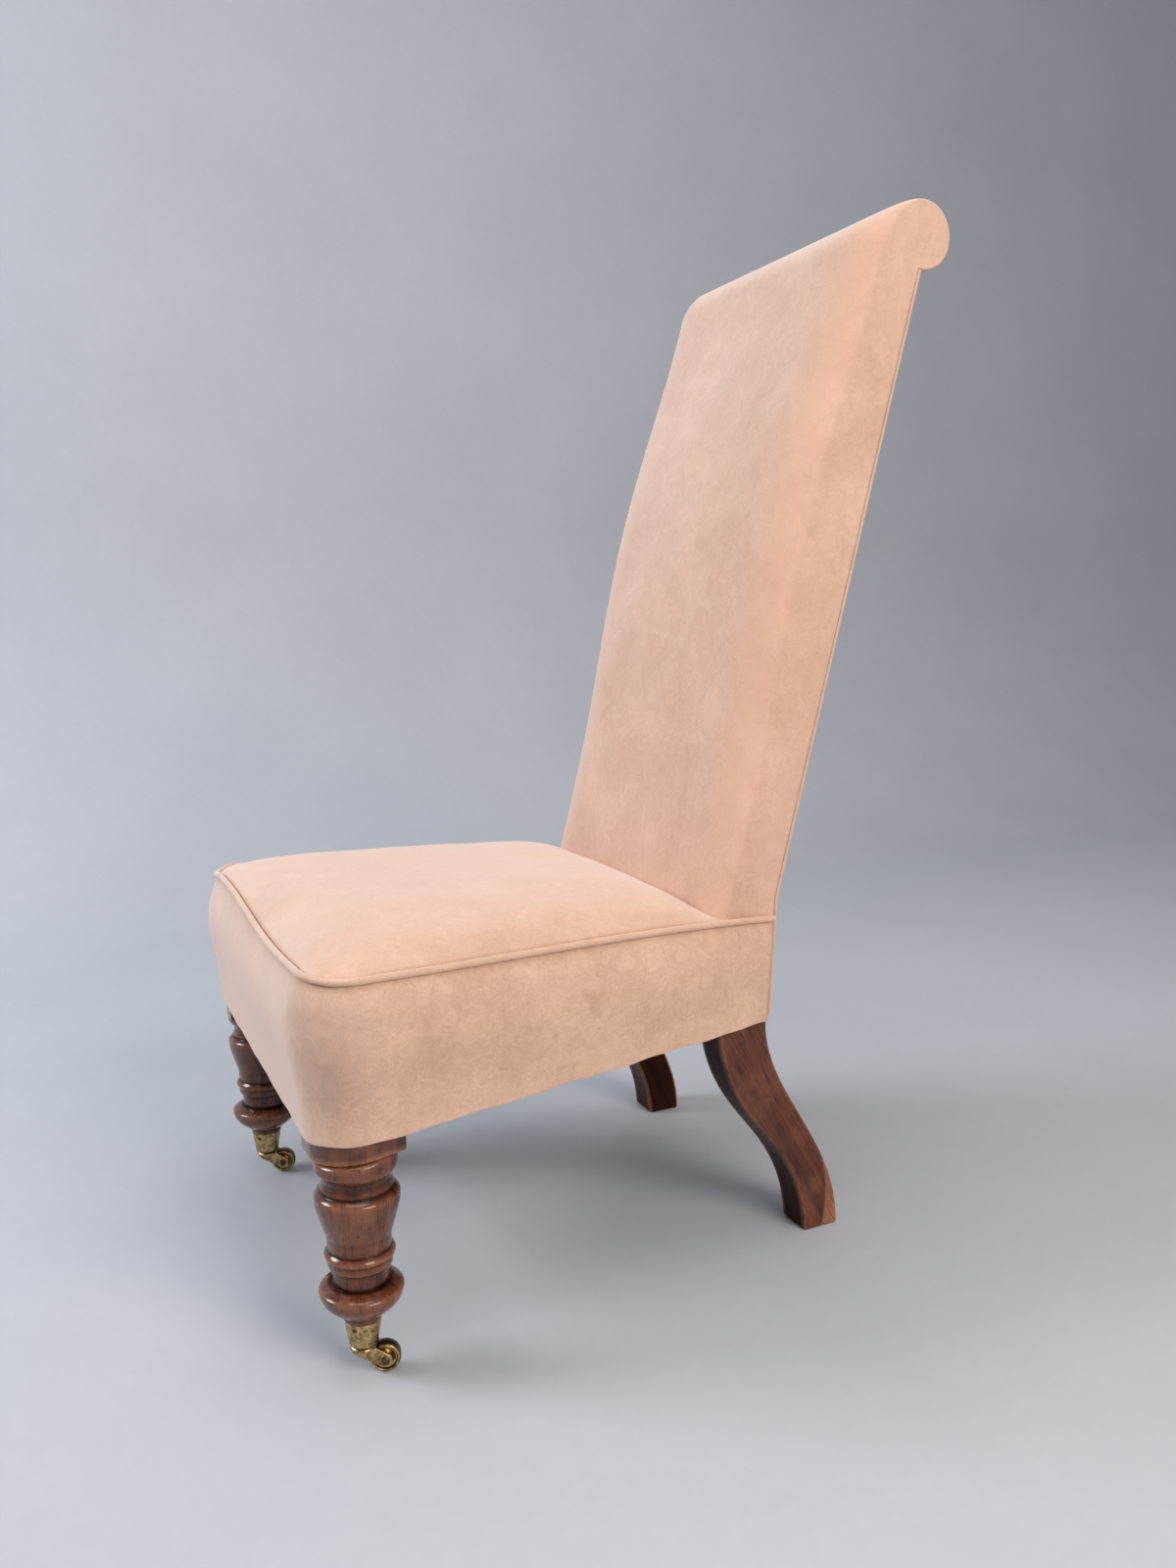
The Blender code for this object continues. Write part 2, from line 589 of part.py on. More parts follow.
tenon_z = (rail_foot(SEAT_DEPTH) + RAIL_TOP) / 2
front_tenon_y = FRONT_Y + cover_inset + RAIL_THICKNESS / 2
rear_tenon_y = FRONT_Y + rear_rail_front + RAIL_THICKNESS * 0.6
stay_y, stay_z = raked(STAY_RAIL_FOOT + STAY_RAIL_HEIGHT / 2, (post_rear_n + post_front_n) / 2)
up_rake = (0, sin(BACK_RAKE), cos(BACK_RAKE))
for side, sign in (("left", 1), ("right", -1)):
    out = (sign, 0, 0)
    tenon(front_rail, legs[side], f"front_{side}", (sign * rail_end, front_tenon_y, tenon_z), out, (0, 1, 0))
    tenon(rear_rail, posts[side], f"rear_{side}", (sign * rear_end, rear_tenon_y, tenon_z), out, (0, 1, 0))
    tenon(stay_rail, posts[side], f"stay_{side}", (sign * rear_end, stay_y, stay_z), out,
          (0, up_rake[2], -up_rake[1]))
    run =Vector((-sign * taper, 1, 0)).normalized()
    level = Vector((run.y, -run.x, 0))
    mid_inset = cover_inset + RAIL_THICKNESS / 2
    front_x = half_width(block_rear + GAP, mid_inset)
    front_start = (sign * front_x, FRONT_Y + block_rear + GAP, tenon_z)
    tenon(side_rails[side], legs[side], f"side_front_{side}", front_start, -run, level)
    rear_depth_here = post_front_depth(tenon_z) - GAP
    rear_x = half_width(rear_depth_here, mid_inset)
    rear_start = (sign * rear_x, FRONT_Y + rear_depth_here, tenon_z)
    tenon(side_rails[side], posts[side], f"side_rear_{side}", rear_start, run, level)
    crest_y, crest_z = raked(crest_foot_t, (post_rear_n + post_front_n) / 2)
    tenon(crest_rail, posts[side], f"crest_{side}", (sign * (post_outer + post_inner) / 2, crest_y, crest_z),
          [-v for v in up_rake], (1, 0, 0), TENON_THICKNESS, POST_DEPTH * 0.6)

# Brass cup casters: tapered socket, horn that swivels in its floor, wheel on a riveted axle
cheek_gap = WHEEL_WIDTH / 2 + WHEEL_GAP
fork_half = cheek_gap + CHEEK_THICKNESS
collar_top = SOCKET_FOOT - GAP
collar_foot = collar_top - COLLAR_HEIGHT
floor_top = SOCKET_FOOT + SOCKET_FLOOR
head_foot = floor_top + RUNNING_GAP
bore_radius = PINTLE_RADIUS + RUNNING_GAP
socket_profile = [(SOCKET_TOP_RADIUS, SOCKET_TOP), (socket_radius(floor_top), floor_top)]
socket_profile += [(SOCKET_FOOT_RADIUS, SOCKET_FOOT), (bore_radius, SOCKET_FOOT), (bore_radius, floor_top)]
socket_profile += [(socket_radius(floor_top) - SOCKET_WALL, floor_top)]
socket_profile += [(SOCKET_TOP_RADIUS - SOCKET_WALL, SOCKET_TOP)]
horn_profile = [(0, pintle_top), (PINTLE_HEAD_RADIUS * 0.6, pintle_top)]
horn_profile += [(PINTLE_HEAD_RADIUS, head_foot + PINTLE_HEAD_HEIGHT / 2), (PINTLE_HEAD_RADIUS, head_foot)]
horn_profile += [(PINTLE_RADIUS, head_foot), (PINTLE_RADIUS, collar_top), (COLLAR_RADIUS * 0.94, collar_top)]
horn_profile += [(COLLAR_RADIUS, collar_top - COLLAR_HEIGHT * 0.3)]
horn_profile += [(COLLAR_RADIUS, collar_top - COLLAR_HEIGHT * 0.6)]
horn_profile += [(COLLAR_RADIUS * 0.85, collar_foot), (0, collar_foot)]
rim = WHEEL_WIDTH / 2
wheel_profile = [(WHEEL_BORE, rim), (WHEEL_RADIUS * 0.36, rim), (WHEEL_RADIUS * 0.42, rim * 0.7)]
wheel_profile += [(WHEEL_RADIUS * 0.74, rim * 0.7), (WHEEL_RADIUS * 0.8, rim), (WHEEL_RADIUS * 0.92, rim)]
wheel_profile += [(WHEEL_RADIUS, rim * 0.6)]
wheel_profile += [(radius, -z) for radius, z in reversed(wheel_profile)]
head_out = fork_half + GAP + AXLE_HEAD_HEIGHT
axle_profile = [(0, head_out), (AXLE_HEAD_RADIUS * 0.6, head_out), (AXLE_HEAD_RADIUS, fork_half + GAP)]
axle_profile += [(AXLE_RADIUS, fork_half + GAP)]
axle_profile += [(radius, -z) for radius, z in reversed(axle_profile)]


def cheek_outline():
    """Side outline of the fork: an arm from the collar down to a round end about the axle."""
    arm_top = collar_top - COLLAR_HEIGHT * 0.3
    points = [(COLLAR_RADIUS * 0.8, arm_top), (-COLLAR_RADIUS * 0.8, arm_top)]
    points += [(-COLLAR_RADIUS * 0.8, collar_foot), (-COLLAR_RADIUS * 0.1, collar_foot - COLLAR_HEIGHT * 0.8)]
    for i in range(10):
        a = radians(-130) + radians(205) * i / 9
        points.append((CASTER_TRAIL + CHEEK_RADIUS * cos(a), WHEEL_RADIUS + CHEEK_RADIUS * sin(a)))
    return points


def screw_profile(grow, inner, outer, shank_end):
    """A screw along Z with its head between inner and outer and its point at shank_end."""
    return [(0, outer), (SCREW_HEAD_RADIUS + grow, outer), (SCREW_HEAD_RADIUS + grow, inner),
            (SCREW_SHANK_RADIUS + grow, inner), (SCREW_SHANK_RADIUS + grow, shank_end), (0, shank_end)]


head_in = socket_radius(SCREW_HEIGHT) - SOCKET_WALL
head_face = socket_radius(SCREW_HEIGHT) + GAP
for side, sign in (("left", 1), ("right", -1)):
    swivel = bpy.data.objects.new(f"caster_{side}_swivel", None)
    swivel.location = (sign * leg_x, leg_y, 0)
    swivel.rotation_euler = (0, 0, CASTER_HEADING)
    parts.objects.link(swivel)
    foot = bpy.data.objects.new(f"caster_{side}_fixing", None)
    foot.location = swivel.location
    parts.objects.link(foot)
    socket = turned(f"caster_socket_{side}", socket_profile, ROUND_STEPS, closed=True)
    show(socket, brass, foot)
    for number, heading in (("1", SCREW_HEADING), ("2", SCREW_HEADING + pi)):
        turn = (0, pi / 2, heading)
        screw = turned(f"caster_screw_{side}_{number}", screw_profile(0, head_in, head_face, SCREW_DEPTH), 8)
        hole = turned(f"screw_hole_{side}_{number}",
                      screw_profile(GAP, head_in - GAP, head_face + SOCKET_WALL, SCREW_DEPTH - GAP), 8)
        screw.rotation_euler = hole.rotation_euler = turn
        screw.location = hole.location = (0, 0, SCREW_HEIGHT)
        show(screw, brass, foot)
        hide(hole, foot)
        combine(socket, hole, "DIFFERENCE")
        combine(legs[side], hole, "DIFFERENCE")

    horn = turned(f"caster_horn_{side}", horn_profile, ROUND_STEPS)
    show(horn, brass, swivel)
    upright_sheet = Matrix.Rotation(pi / 2, 4, "X")
    fork = hide(flat_piece(f"fork_{side}", cheek_outline(), -fork_half, fork_half, upright_sheet), swivel)
    room = turned(f"wheel_room_{side}", [(0, cheek_gap), (WHEEL_RADIUS + WHEEL_GAP, cheek_gap),
                                         (WHEEL_RADIUS + WHEEL_GAP, -cheek_gap), (0, -cheek_gap)], ROUND_STEPS)
    eye = turned(f"axle_eye_{side}", [(0, fork_half * 2), (AXLE_RADIUS + GAP, fork_half * 2),
                                      (AXLE_RADIUS + GAP, -fork_half * 2), (0, -fork_half * 2)], SMALL_STEPS)
    wheel = turned(f"caster_wheel_{side}", wheel_profile, ROUND_STEPS, closed=True)
    axle = turned(f"caster_axle_{side}", axle_profile, SMALL_STEPS)
    for round_piece in (room, eye, wheel, axle):
        round_piece.location = (CASTER_TRAIL, 0, WHEEL_RADIUS)
        round_piece.rotation_euler = (pi / 2, 0, 0)
    for cutter in (room, eye):
        hide(cutter, swivel)
    combine(horn, fork, "UNION")
    combine(horn, room, "DIFFERENCE")
    combine(horn, eye, "DIFFERENCE")
    show(wheel, brass, swivel)
    show(axle, brass, swivel)


# Seat webbing: straps under the rails, each passing over and under the straps it crosses
upper_drop = GAP + WEB_THICKNESS / 2
lower_drop = upper_drop + WEB_THICKNESS + GAP
plateau = WEB_WIDTH / 2 + 0.003
strap_front = cover_inset + RAIL_THICKNESS / 2
strap_rear = rear_rail_front + RAIL_THICKNESS / 2
strap_span = strap_rear - strap_front
cross_depths = [strap_front + strap_span * share for share in (0.27, 0.51, 0.75)]
long_offsets = [-SPRING_SPREAD, 0, SPRING_SPREAD]


def strap(name, stations, sideways, rise):
    """A flat strap along its stations; sideways is half its width, rise half its thickness."""
    rings = []
    for x, depth, drop in stations:
        rings.append([(x + i * sideways[0], FRONT_Y + depth + i * sideways[1],
                       rail_foot(depth + i * sideways[1]) - drop + j * rise)
                      for i, j in ((-1, -1), (1, -1), (1, 1), (-1, 1))])
    return show(loft(name, rings), jute_web)


for row, x in enumerate(long_offsets):
    stations = [(x, strap_front, upper_drop)]
    for column, depth in enumerate(cross_depths):
        drop = lower_drop if (row + column) % 2 else upper_drop
        stations += [(x, depth - plateau, drop), (x, depth + plateau, drop)]
    stations.append((x, strap_rear, upper_drop))
    strap(f"seat_web_long_{row + 1}", stations, (WEB_WIDTH / 2, 0), WEB_THICKNESS / 2)
for column, depth in enumerate(cross_depths):
    reach = half_width(depth + WEB_WIDTH / 2, cover_inset + RAIL_THICKNESS / 2)
    stations = [(-reach, depth, upper_drop)]
    for row, x in enumerate(long_offsets):
        drop = upper_drop if (row + column) % 2 else lower_drop
        stations += [(x - plateau, depth, drop), (x + plateau, depth, drop)]
    stations.append((reach, depth, upper_drop))
    strap(f"seat_web_cross_{column + 1}", stations, (0, WEB_WIDTH / 2), WEB_THICKNESS / 2)

# Bottoming cloth: black cotton under the webbing, cut round the leg blocks and posts
cloth_top = lower_drop + WEB_THICKNESS / 2 + GAP
cloth_margin = 0.004
front_inner = block_inner - GAP - cloth_margin
rear_inner = post_inner - GAP - cloth_margin
cloth_front = cover_inset + cloth_margin
cloth_step = block_rear + cloth_margin
cloth_back = post_front_depth(rear_lower_edge) - cloth_margin
cloth_rear = strap_rear + cloth_margin
cloth_half = [(front_inner, cloth_front), (front_inner, cloth_step),
              (half_width(cloth_step, cover_inset + cloth_margin), cloth_step),
              (half_width(cloth_back, cover_inset + cloth_margin), cloth_back),
              (rear_inner, cloth_back), (rear_inner, cloth_rear)]
cloth_outline = cloth_half + [(-x, depth) for x, depth in reversed(cloth_half)]
cloth_rings = [[(x, FRONT_Y + depth, rail_foot(depth) - drop) for x, depth in cloth_outline]
               for drop in (cloth_top, cloth_top + BOTTOMING)]
show(loft("bottoming_cloth", cloth_rings), black_cotton)


# Seat layers: each is a sheet or body between two surfaces over the seat's outline
def seat_depths(inset, rear):
    """Depths of the rows of a seat layer: close in the rounded front corners and where the top falls
    towards the back."""
    corner = SEAT_CORNER_RADIUS - inset
    depths = [SEAT_CORNER_RADIUS - corner * cos(radians(angle)) for angle in (0, 22, 42, 62, 90)]
    start = depths[-1]
    return depths + [start + (rear - start) * share for share in (0.17, 0.36, 0.56, 0.76, 0.9)] + [rear]


def crown(u, depth):
    """Rise of the seat's top over its piped edge: nothing at the edges and where it runs in under the
    back, full over the springs."""
    front = (1 - (1 - min(1, max(0, depth / SEAT_CROWN_RUN)))**2.5)**0.8
    fall = (depth - SEAT_FALL_START) / (back_front_depth(SEAT_EDGE_HEIGHT) - SEAT_FALL_START)
    return SEAT_CROWN * front * (1 - min(1, max(0, fall))**3) * (1 - u**4)**0.8


def hessian_top(u, depth):
    """Upper side of the hessian: it lies on the rails at its edges and is lifted by the springs."""
    share = min(1, max(0, depth / strap_rear))
    return RAIL_TOP + GAP + HESSIAN + HESSIAN_RISE * (1 - u * u) * sin(pi * share)


def cover_top(u, depth):
    """Upper side of the seat's top cover."""
    return edge_height(depth) + COVER / 2 + crown(u, depth - seat_inset)


def seat_layer(name, inset, upper, lower, rear_of, widths=None):
    """A seat layer between the surfaces upper(u, depth) and lower(u, depth); rear_of(z) ends it. Heights
    are taken at the top cover's rows, so that the facets of neighbouring layers stay parallel."""
    rings = []
    rear = rear_of(SEAT_EDGE_HEIGHT)
    for depth, cover_depth in zip(seat_depths(inset, rear), seat_depths(seat_inset, rear)):
        half = half_width(depth, inset)
        ring = []
        for surface, columns in ((upper, COLUMNS), (lower, COLUMNS[::-1])):
            for u in columns:
                z = surface(u, cover_depth)
                if depth == rear:
                    ring.append((u * half, FRONT_Y + rear_of(z), surface(u, rear_of(z))))
                else:
                    ring.append((u * half, FRONT_Y + depth, z))
        rings.append(ring)
    for half, depth in widths or ():
        rings.append([(u * half, FRONT_Y + depth, surface(u, depth))
                      for surface, columns in ((upper, COLUMNS), (lower, COLUMNS[::-1])) for u in columns])
    return loft(name, rings, len(COLUMNS))


def against_back(z):
    """Depth at which the seat meets the front of the back."""
    return back_front_depth(z) - SOFT_GAP


def before_posts(z):
    """Depth just in front of the posts."""
    return post_front_depth(rear_lower_edge) - GAP - cloth_margin


seat_inset = piping_radius - PIPING_PROUD + SOFT_GAP
hessian_inset = cover_inset + cloth_margin
hessian_sheet = seat_layer("seat_hessian", hessian_inset, hessian_top, lambda u, d: hessian_top(u, d) - HESSIAN,
                           before_posts, [(rear_inner, before_posts(0) + GAP), (rear_inner, strap_rear)])
show(smooth(hessian_sheet), hessian_cloth)
stuffing = seat_layer("seat_stuffing", cover_inset + SOFT_GAP, lambda u, d: cover_top(u, d) - COVER - SOFT_GAP,
                      lambda u, d: hessian_top(u, d) + 1.5 * SOFT_GAP, against_back)
show(smooth(stuffing), hair_stuffing)
top_cover = seat_layer("seat_top_cover", seat_inset, cover_top, lambda u, d: cover_top(u, d) - COVER,
                       against_back)
show(smooth(top_cover), peach_velvet)


# Coil springs: hourglass coils between the webbing and the hessian
def coil(name, x, depth):
    """One hourglass spring as an unbroken tube, its lower end on the strap and its upper end under the
    hessian; returns the least gap between its turns."""
    wire = SPRING_WIRE / 2
    steps = SPRING_TURNS * POINTS_PER_CURL
    low = rail_foot(depth + SPRING_END_RADIUS) + wire
    flat = min(abs(u) for u in COLUMNS)
    turns = []
    for i in range(steps + 1):
        s = i / steps
        angle = pi / 2 + 2 * pi * i / POINTS_PER_CURL
        radius = SPRING_END_RADIUS - (SPRING_END_RADIUS - SPRING_WAIST_RADIUS) * sin(pi * s)
        turns.append((x + radius * cos(angle), depth + radius * sin(angle), s - 0.09 * sin(2 * pi * s)))
    rises = []
    for place_x, place_depth, climb in turns[-POINTS_PER_CURL:]:
        u = max(flat, abs(place_x) / half_width(place_depth, hessian_inset))
        rises.append((hessian_top(u, place_depth) - HESSIAN - SOFT_GAP - wire - low) / climb)
    points = [Vector((place_x, FRONT_Y + place_depth, low + min(rises) * climb))
              for place_x, place_depth, climb in turns]
    curve = bpy.data.curves.new(name, "CURVE")
    curve.dimensions = "3D"
    curve.bevel_depth = wire
    curve.bevel_resolution = 1
    curve.use_fill_caps = True
    spline = curve.splines.new("POLY")
    spline.points.add(steps)
    for point, place in zip(spline.points, points):
        point.co = (*place, 1)
    show(bpy.data.objects.new(name, curve), steel_wire)
    far = POINTS_PER_CURL // 2
    return min((a - b).length for i, a in enumerate(points) for b in points[i + far:]) - SPRING_WIRE


spring_places = [(-SPRING_SPREAD, SPRING_FRONT_ROW), (SPRING_SPREAD, SPRING_FRONT_ROW),
                 (0, (SPRING_FRONT_ROW + SPRING_REAR_ROW) / 2),
                 (-SPRING_SPREAD, SPRING_REAR_ROW), (SPRING_SPREAD, SPRING_REAR_ROW)]
spring_gaps = [coil(f"seat_spring_{i + 1}", x, depth) for i, (x, depth) in enumerate(spring_places)]
print("least gap between spring turns, mm:", round(min(spring_gaps) * 1000, 2))


# Border and piping follow the seat's outline from one rear corner round the front to the other
def outline_stations(rear):
    """(x, depth, outward x, outward y) along the outline, from the rear left corner to the rear right."""
    side_out = (1 / slant, taper / slant)
    start = SEAT_CORNER_RADIUS * (1 + taper / slant)
    half = []
    for i in range(5):
        depth = rear + (start - rear) * i / 5
        half.append((half_width(depth, 0), depth, *side_out))
    for a in reversed(corner_angles):
        half.append((corner_x + SEAT_CORNER_RADIUS * cos(a), SEAT_CORNER_RADIUS * (1 + sin(a)), cos(a), sin(a)))
    half.append((corner_x / 2, 0, 0, -1))
    other = [(-x, depth, -out_x, out_y) for x, depth, out_x, out_y in reversed(half)]
    return half + [(0, 0, 0, -1)] + other


border_shares = (0, 0.12, 0.3, 0.5, 0.7, 0.88, 1)
border_end = SEAT_DEPTH - OUTSIDE_COVER - GAP
border_rings = []
for number, (x, depth, out_x, out_y) in enumerate(outline_stations(border_end)):
    low = lower_edge(depth)
    high = edge_height(depth) - piping_radius - GAP
    at_end = depth == border_end
    bulge = BORDER_BULGE * (BORDER_REAR_SHARE if at_end else 1)
    section = [(bulge * sin(pi * share**1.35), low + (high - low) * share) for share in border_shares]
    section += [(-COVER, high), (-COVER, low)]
    ring = []
    for offset, z in section:
        lean_back = rear_depth(z) - SEAT_DEPTH if at_end else 0
        ring.append((x + offset * out_x, FRONT_Y + depth + lean_back + (0 if at_end else offset * out_y), z))
    border_rings.append(ring)
show(smooth(loft("seat_border", border_rings)), peach_velvet)

piping_curve = bpy.data.curves.new("seat_piping", "CURVE")
piping_curve.dimensions = "3D"
piping_curve.bevel_depth = piping_radius
piping_curve.bevel_resolution = 2
piping_curve.use_fill_caps = True
piping_places = [(x + PIPING_PROUD * out_x, FRONT_Y + depth + PIPING_PROUD * out_y, edge_height(depth))
                 for x, depth, out_x, out_y in outline_stations(border_end)]
piping_spline = piping_curve.splines.new("POLY")
piping_spline.points.add(len(piping_places) - 1)
for point, place in zip(piping_spline.points, piping_places):
    point.co = (*place, 1)
show(bpy.data.objects.new("seat_piping", piping_curve), peach_velvet)

# Back: webbing across the posts, hessian over it, stuffing, then the cover drawn over all
web_reach = post_outer - cloth_margin
for number, share in enumerate((0.25, 0.5, 0.75)):
    middle = STAY_RAIL_FOOT + STAY_RAIL_HEIGHT + (post_top_t - STAY_RAIL_FOOT - STAY_RAIL_HEIGHT) * share
    web_outline = [raked(middle + i * WEB_WIDTH / 2, web_n + j * WEB_THICKNESS)
                   for i, j in ((-1, 0), (1, 0), (1, 1), (-1, 1))]
    show(across(f"back_web_{number + 1}", web_outline, -web_reach, web_reach), jute_web)


def over_crest(offset, low_t, end_n):
    """Side outline that runs up the posts and over the crest rail, offset forward from both."""
    n = post_front_n + offset
    return [(y, z) for y, z, *_ in hook(low_t, n, n, crest_radius + offset, end_n, 1, 4, 7)]


hessian_foot = STAY_RAIL_FOOT + cloth_margin
hessian_in = hessian_n - post_front_n
hessian_outline = over_crest(hessian_in + HESSIAN, hessian_foot, post_rear_n)
hessian_outline += over_crest(hessian_in, hessian_foot, post_rear_n)[::-1]
show(smooth(across("back_hessian", hessian_outline, -web_reach, web_reach)), hessian_cloth)

stuffing_in = over_crest(stuffing_n - post_front_n, foot_t(back_foot, stuffing_n), post_rear_n)
back_pad = back_form("back_stuffing", COVER + SOFT_GAP, stuffing_in[::-1])
show(smooth(back_pad), hair_stuffing)

crease_t = scroll_t - SCROLL_RADIUS
clear_n = -2 * COVER
outer_tail = [raked(0, side_n), (FRONT_Y + rear_depth(back_foot) - side_n, back_foot)]
inner_tail = [raked(crease_t - COVER, side_n + COVER_TURN_IN), raked(crease_t - COVER, clear_n)]
inner_tail += [raked(0, clear_n), (FRONT_Y + rear_depth(back_foot) - clear_n, back_foot - COVER)]
inside_cover = show(smooth(back_form("inside_back_cover", 0, outer_tail)), peach_velvet)
combine(inside_cover, hide(back_form("back_room", COVER, inner_tail)), "DIFFERENCE")

outside_top = crease_t - GAP
outside_foot = rear_lower_edge + COVER
outside_outline = [raked(outside_top, 0), raked(0, 0), (FRONT_Y + rear_depth(outside_foot), outside_foot),
                   (FRONT_Y + rear_depth(outside_foot) - OUTSIDE_COVER, outside_foot), raked(0, OUTSIDE_COVER),
                   raked(outside_top, OUTSIDE_COVER)]
show(across("outside_back_cover", outside_outline, -BACK_WIDTH / 2, BACK_WIDTH / 2), peach_velvet)
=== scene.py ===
"""Looks of a Victorian slipper chair: peach velvet seat and rolled back, mahogany legs, brass casters.
Every surface made here is a formula on a grid of points, in metres, in the frame of the CAD model."""

from math import atan2, cos, hypot, pi, radians, sin, sqrt

import bmesh
import bpy
import numpy as np
from mathutils import Matrix, Vector


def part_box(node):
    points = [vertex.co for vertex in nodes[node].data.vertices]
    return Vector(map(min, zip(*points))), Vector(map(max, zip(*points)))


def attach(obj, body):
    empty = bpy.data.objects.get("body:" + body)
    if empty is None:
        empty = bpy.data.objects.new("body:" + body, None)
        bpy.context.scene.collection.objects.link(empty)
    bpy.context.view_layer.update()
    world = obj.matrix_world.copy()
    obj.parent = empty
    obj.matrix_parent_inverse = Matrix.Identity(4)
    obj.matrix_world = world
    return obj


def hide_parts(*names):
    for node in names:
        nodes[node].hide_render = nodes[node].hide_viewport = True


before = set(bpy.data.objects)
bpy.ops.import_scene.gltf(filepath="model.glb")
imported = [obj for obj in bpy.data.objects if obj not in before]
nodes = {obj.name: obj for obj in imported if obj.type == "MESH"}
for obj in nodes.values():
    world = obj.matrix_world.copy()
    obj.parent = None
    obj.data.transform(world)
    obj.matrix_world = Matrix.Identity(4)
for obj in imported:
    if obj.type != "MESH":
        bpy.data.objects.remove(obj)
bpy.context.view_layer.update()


# Frame timbers: beech seat rails, stay rail and crest rail, hidden under the upholstery.
# Bare sawn wood, left as the CAD solids, with the grain drawn out upright, the same for every rail.
def wire(tree, made, wires):
    """The inputs of a shader node, each set to a value or linked to another node's output."""
    for key, value in wires.items():
        if isinstance(value, bpy.types.NodeSocket):
            tree.links.new(value, made.inputs[key])
        else:
            made.inputs[key].default_value = value


def add(tree, kind, wires=None, **settings):
    """A shader node with its settings and its inputs."""
    made = tree.nodes.new(kind)
    for key, value in settings.items():
        setattr(made, key, value)
    wire(tree, made, wires or {})
    return made


def blank(name):
    """A new material with its node tree and its Principled shader."""
    material = bpy.data.materials.new(name)
    material.use_nodes = True
    return material, material.node_tree, material.node_tree.nodes["Principled BSDF"]


def noise(tree, place, scale, detail=3.0, roughness=0.55, distortion=0.0):
    """Noise from 0 to 1; scale is a number, or one number for each axis."""
    if not isinstance(scale, (int, float)):
        place = add(tree, "ShaderNodeMapping", {"Vector": place, "Scale": scale}).outputs[0]
        scale = 1.0
    return add(tree, "ShaderNodeTexNoise", {"Vector": place, "Scale": scale, "Detail": detail,
                                            "Roughness": roughness, "Distortion": distortion}).outputs["Fac"]


def between(tree, value, low, high, to_low=0.0, to_high=1.0):
    """The value from low to high, stretched to run from to_low to to_high and held at both ends."""
    return add(tree, "ShaderNodeMapRange", {"Value": value, "From Min": low, "From Max": high,
                                            "To Min": to_low, "To Max": to_high}).outputs[0]


def mix(tree, share, first, second, blend="MIX"):
    """Two colours mixed by a share."""
    return add(tree, "ShaderNodeMixRGB", {"Fac": share, "Color1": first, "Color2": second},
               blend_type=blend).outputs[0]


def maths(tree, operation, first, second):
    """One sum, product or other operation on two values."""
    return add(tree, "ShaderNodeMath", {0: first, 1: second}, operation=operation).outputs[0]


def blended(tree, *weighted):
    """The sum of values, each times its weight."""
    total = 0.0
    for value, weight in weighted:
        total = maths(tree, "ADD", maths(tree, "MULTIPLY", value, weight), total)
    return total


def mark(tree, name):
    """A point attribute of the mesh as a value; it is 0 where the mesh has none."""
    return add(tree, "ShaderNodeAttribute", attribute_name=name).outputs["Fac"]


def bumped(tree, height, strength, distance):
    """The normal of a surface made uneven by a height."""
    wires = {"Height": height, "Strength": strength, "Distance": distance}
    return add(tree, "ShaderNodeBump", wires).outputs[0]


def darker(colour, share):
    """A colour with its red, green and blue lowered to a share."""
    return [share * value for value in colour[:3]] + [1]


def wood(name, dark, middle, light, rough, coat, tilt=0.0, patchy=0.5, grain=(75, 75, 5)):
    """Timber: streaks of noise drawn out along the grain, which is tilted about X, paler patches, short dark
    pores, light wood where the attribute wear is high, and painted shade where marked: darker, less glossy."""
    material, tree, shader = blank(name)
    place = add(tree, "ShaderNodeTexCoord").outputs["Object"]
    place = add(tree, "ShaderNodeMapping", {"Vector": place, "Rotation": (tilt, 0, 0)}).outputs[0]
    figure = noise(tree, place, grain, 5.0, 0.62, 0.9)
    pores = noise(tree, place, [6 * g for g in grain], 2.0, 0.5, 0.3)
    patches = noise(tree, place, 26.0, 4.0, 0.6)
    chips = noise(tree, place, 420.0, 2.0, 0.5)
    wear = mark(tree, "wear")
    colour = mix(tree, between(tree, figure, 0.33, 0.66), dark, middle)
    colour = mix(tree, between(tree, patches, 0.45, 0.75, 0.0, patchy), colour, light)
    worn = maths(tree, "MULTIPLY", wear, between(tree, patches, 0.30, 0.60, 0.35, 1.0))
    colour = mix(tree, worn, colour, light)
    colour = mix(tree, between(tree, pores, 0.30, 0.43, 0.65, 0.0), colour, darker(dark, 0.25))
    # Painted shade: darker colour, and further down less shine and no coat, where the shade attribute is
    # high.
    recess = mark(tree, "recess")
    colour = mix(tree, recess, colour, darker(dark, 0.20))
    chipped = maths(tree, "MULTIPLY", between(tree, chips, 0.66, 0.70), between(tree, wear, 0.75, 0.95))
    colour = mix(tree, chipped, colour, (0.50, 0.36, 0.27, 1))
    scuffs = noise(tree, place, 160.0, 4.0, 0.7)
    gloss = blended(tree, (between(tree, scuffs, 0.4, 0.7, rough, rough + 0.14), 1.0), (worn, 0.12))
    uneven = blended(tree, (pores, 0.4), (scuffs, 0.3), (patches, 0.3))
    wire(tree, shader, {"Base Color": colour, "Roughness": gloss,
                        "Specular IOR Level": between(tree, recess, 0.0, 1.0, 0.3, 0.03),
                        "Coat Weight": between(tree, recess, 0.5, 0.7, coat, 0.0), "Coat Roughness": 0.06,
                        "Normal": bumped(tree, uneven, 0.18, 0.0004)})
    return material


beech = wood("beech", (0.30, 0.18, 0.09, 1), (0.46, 0.30, 0.16, 1), (0.55, 0.38, 0.22, 1), 0.55, 0.0)
for rail in ("front_rail", "side_rail_left", "side_rail_right", "rear_rail", "stay_rail", "crest_rail"):
    nodes[rail].data.materials[0] = beech


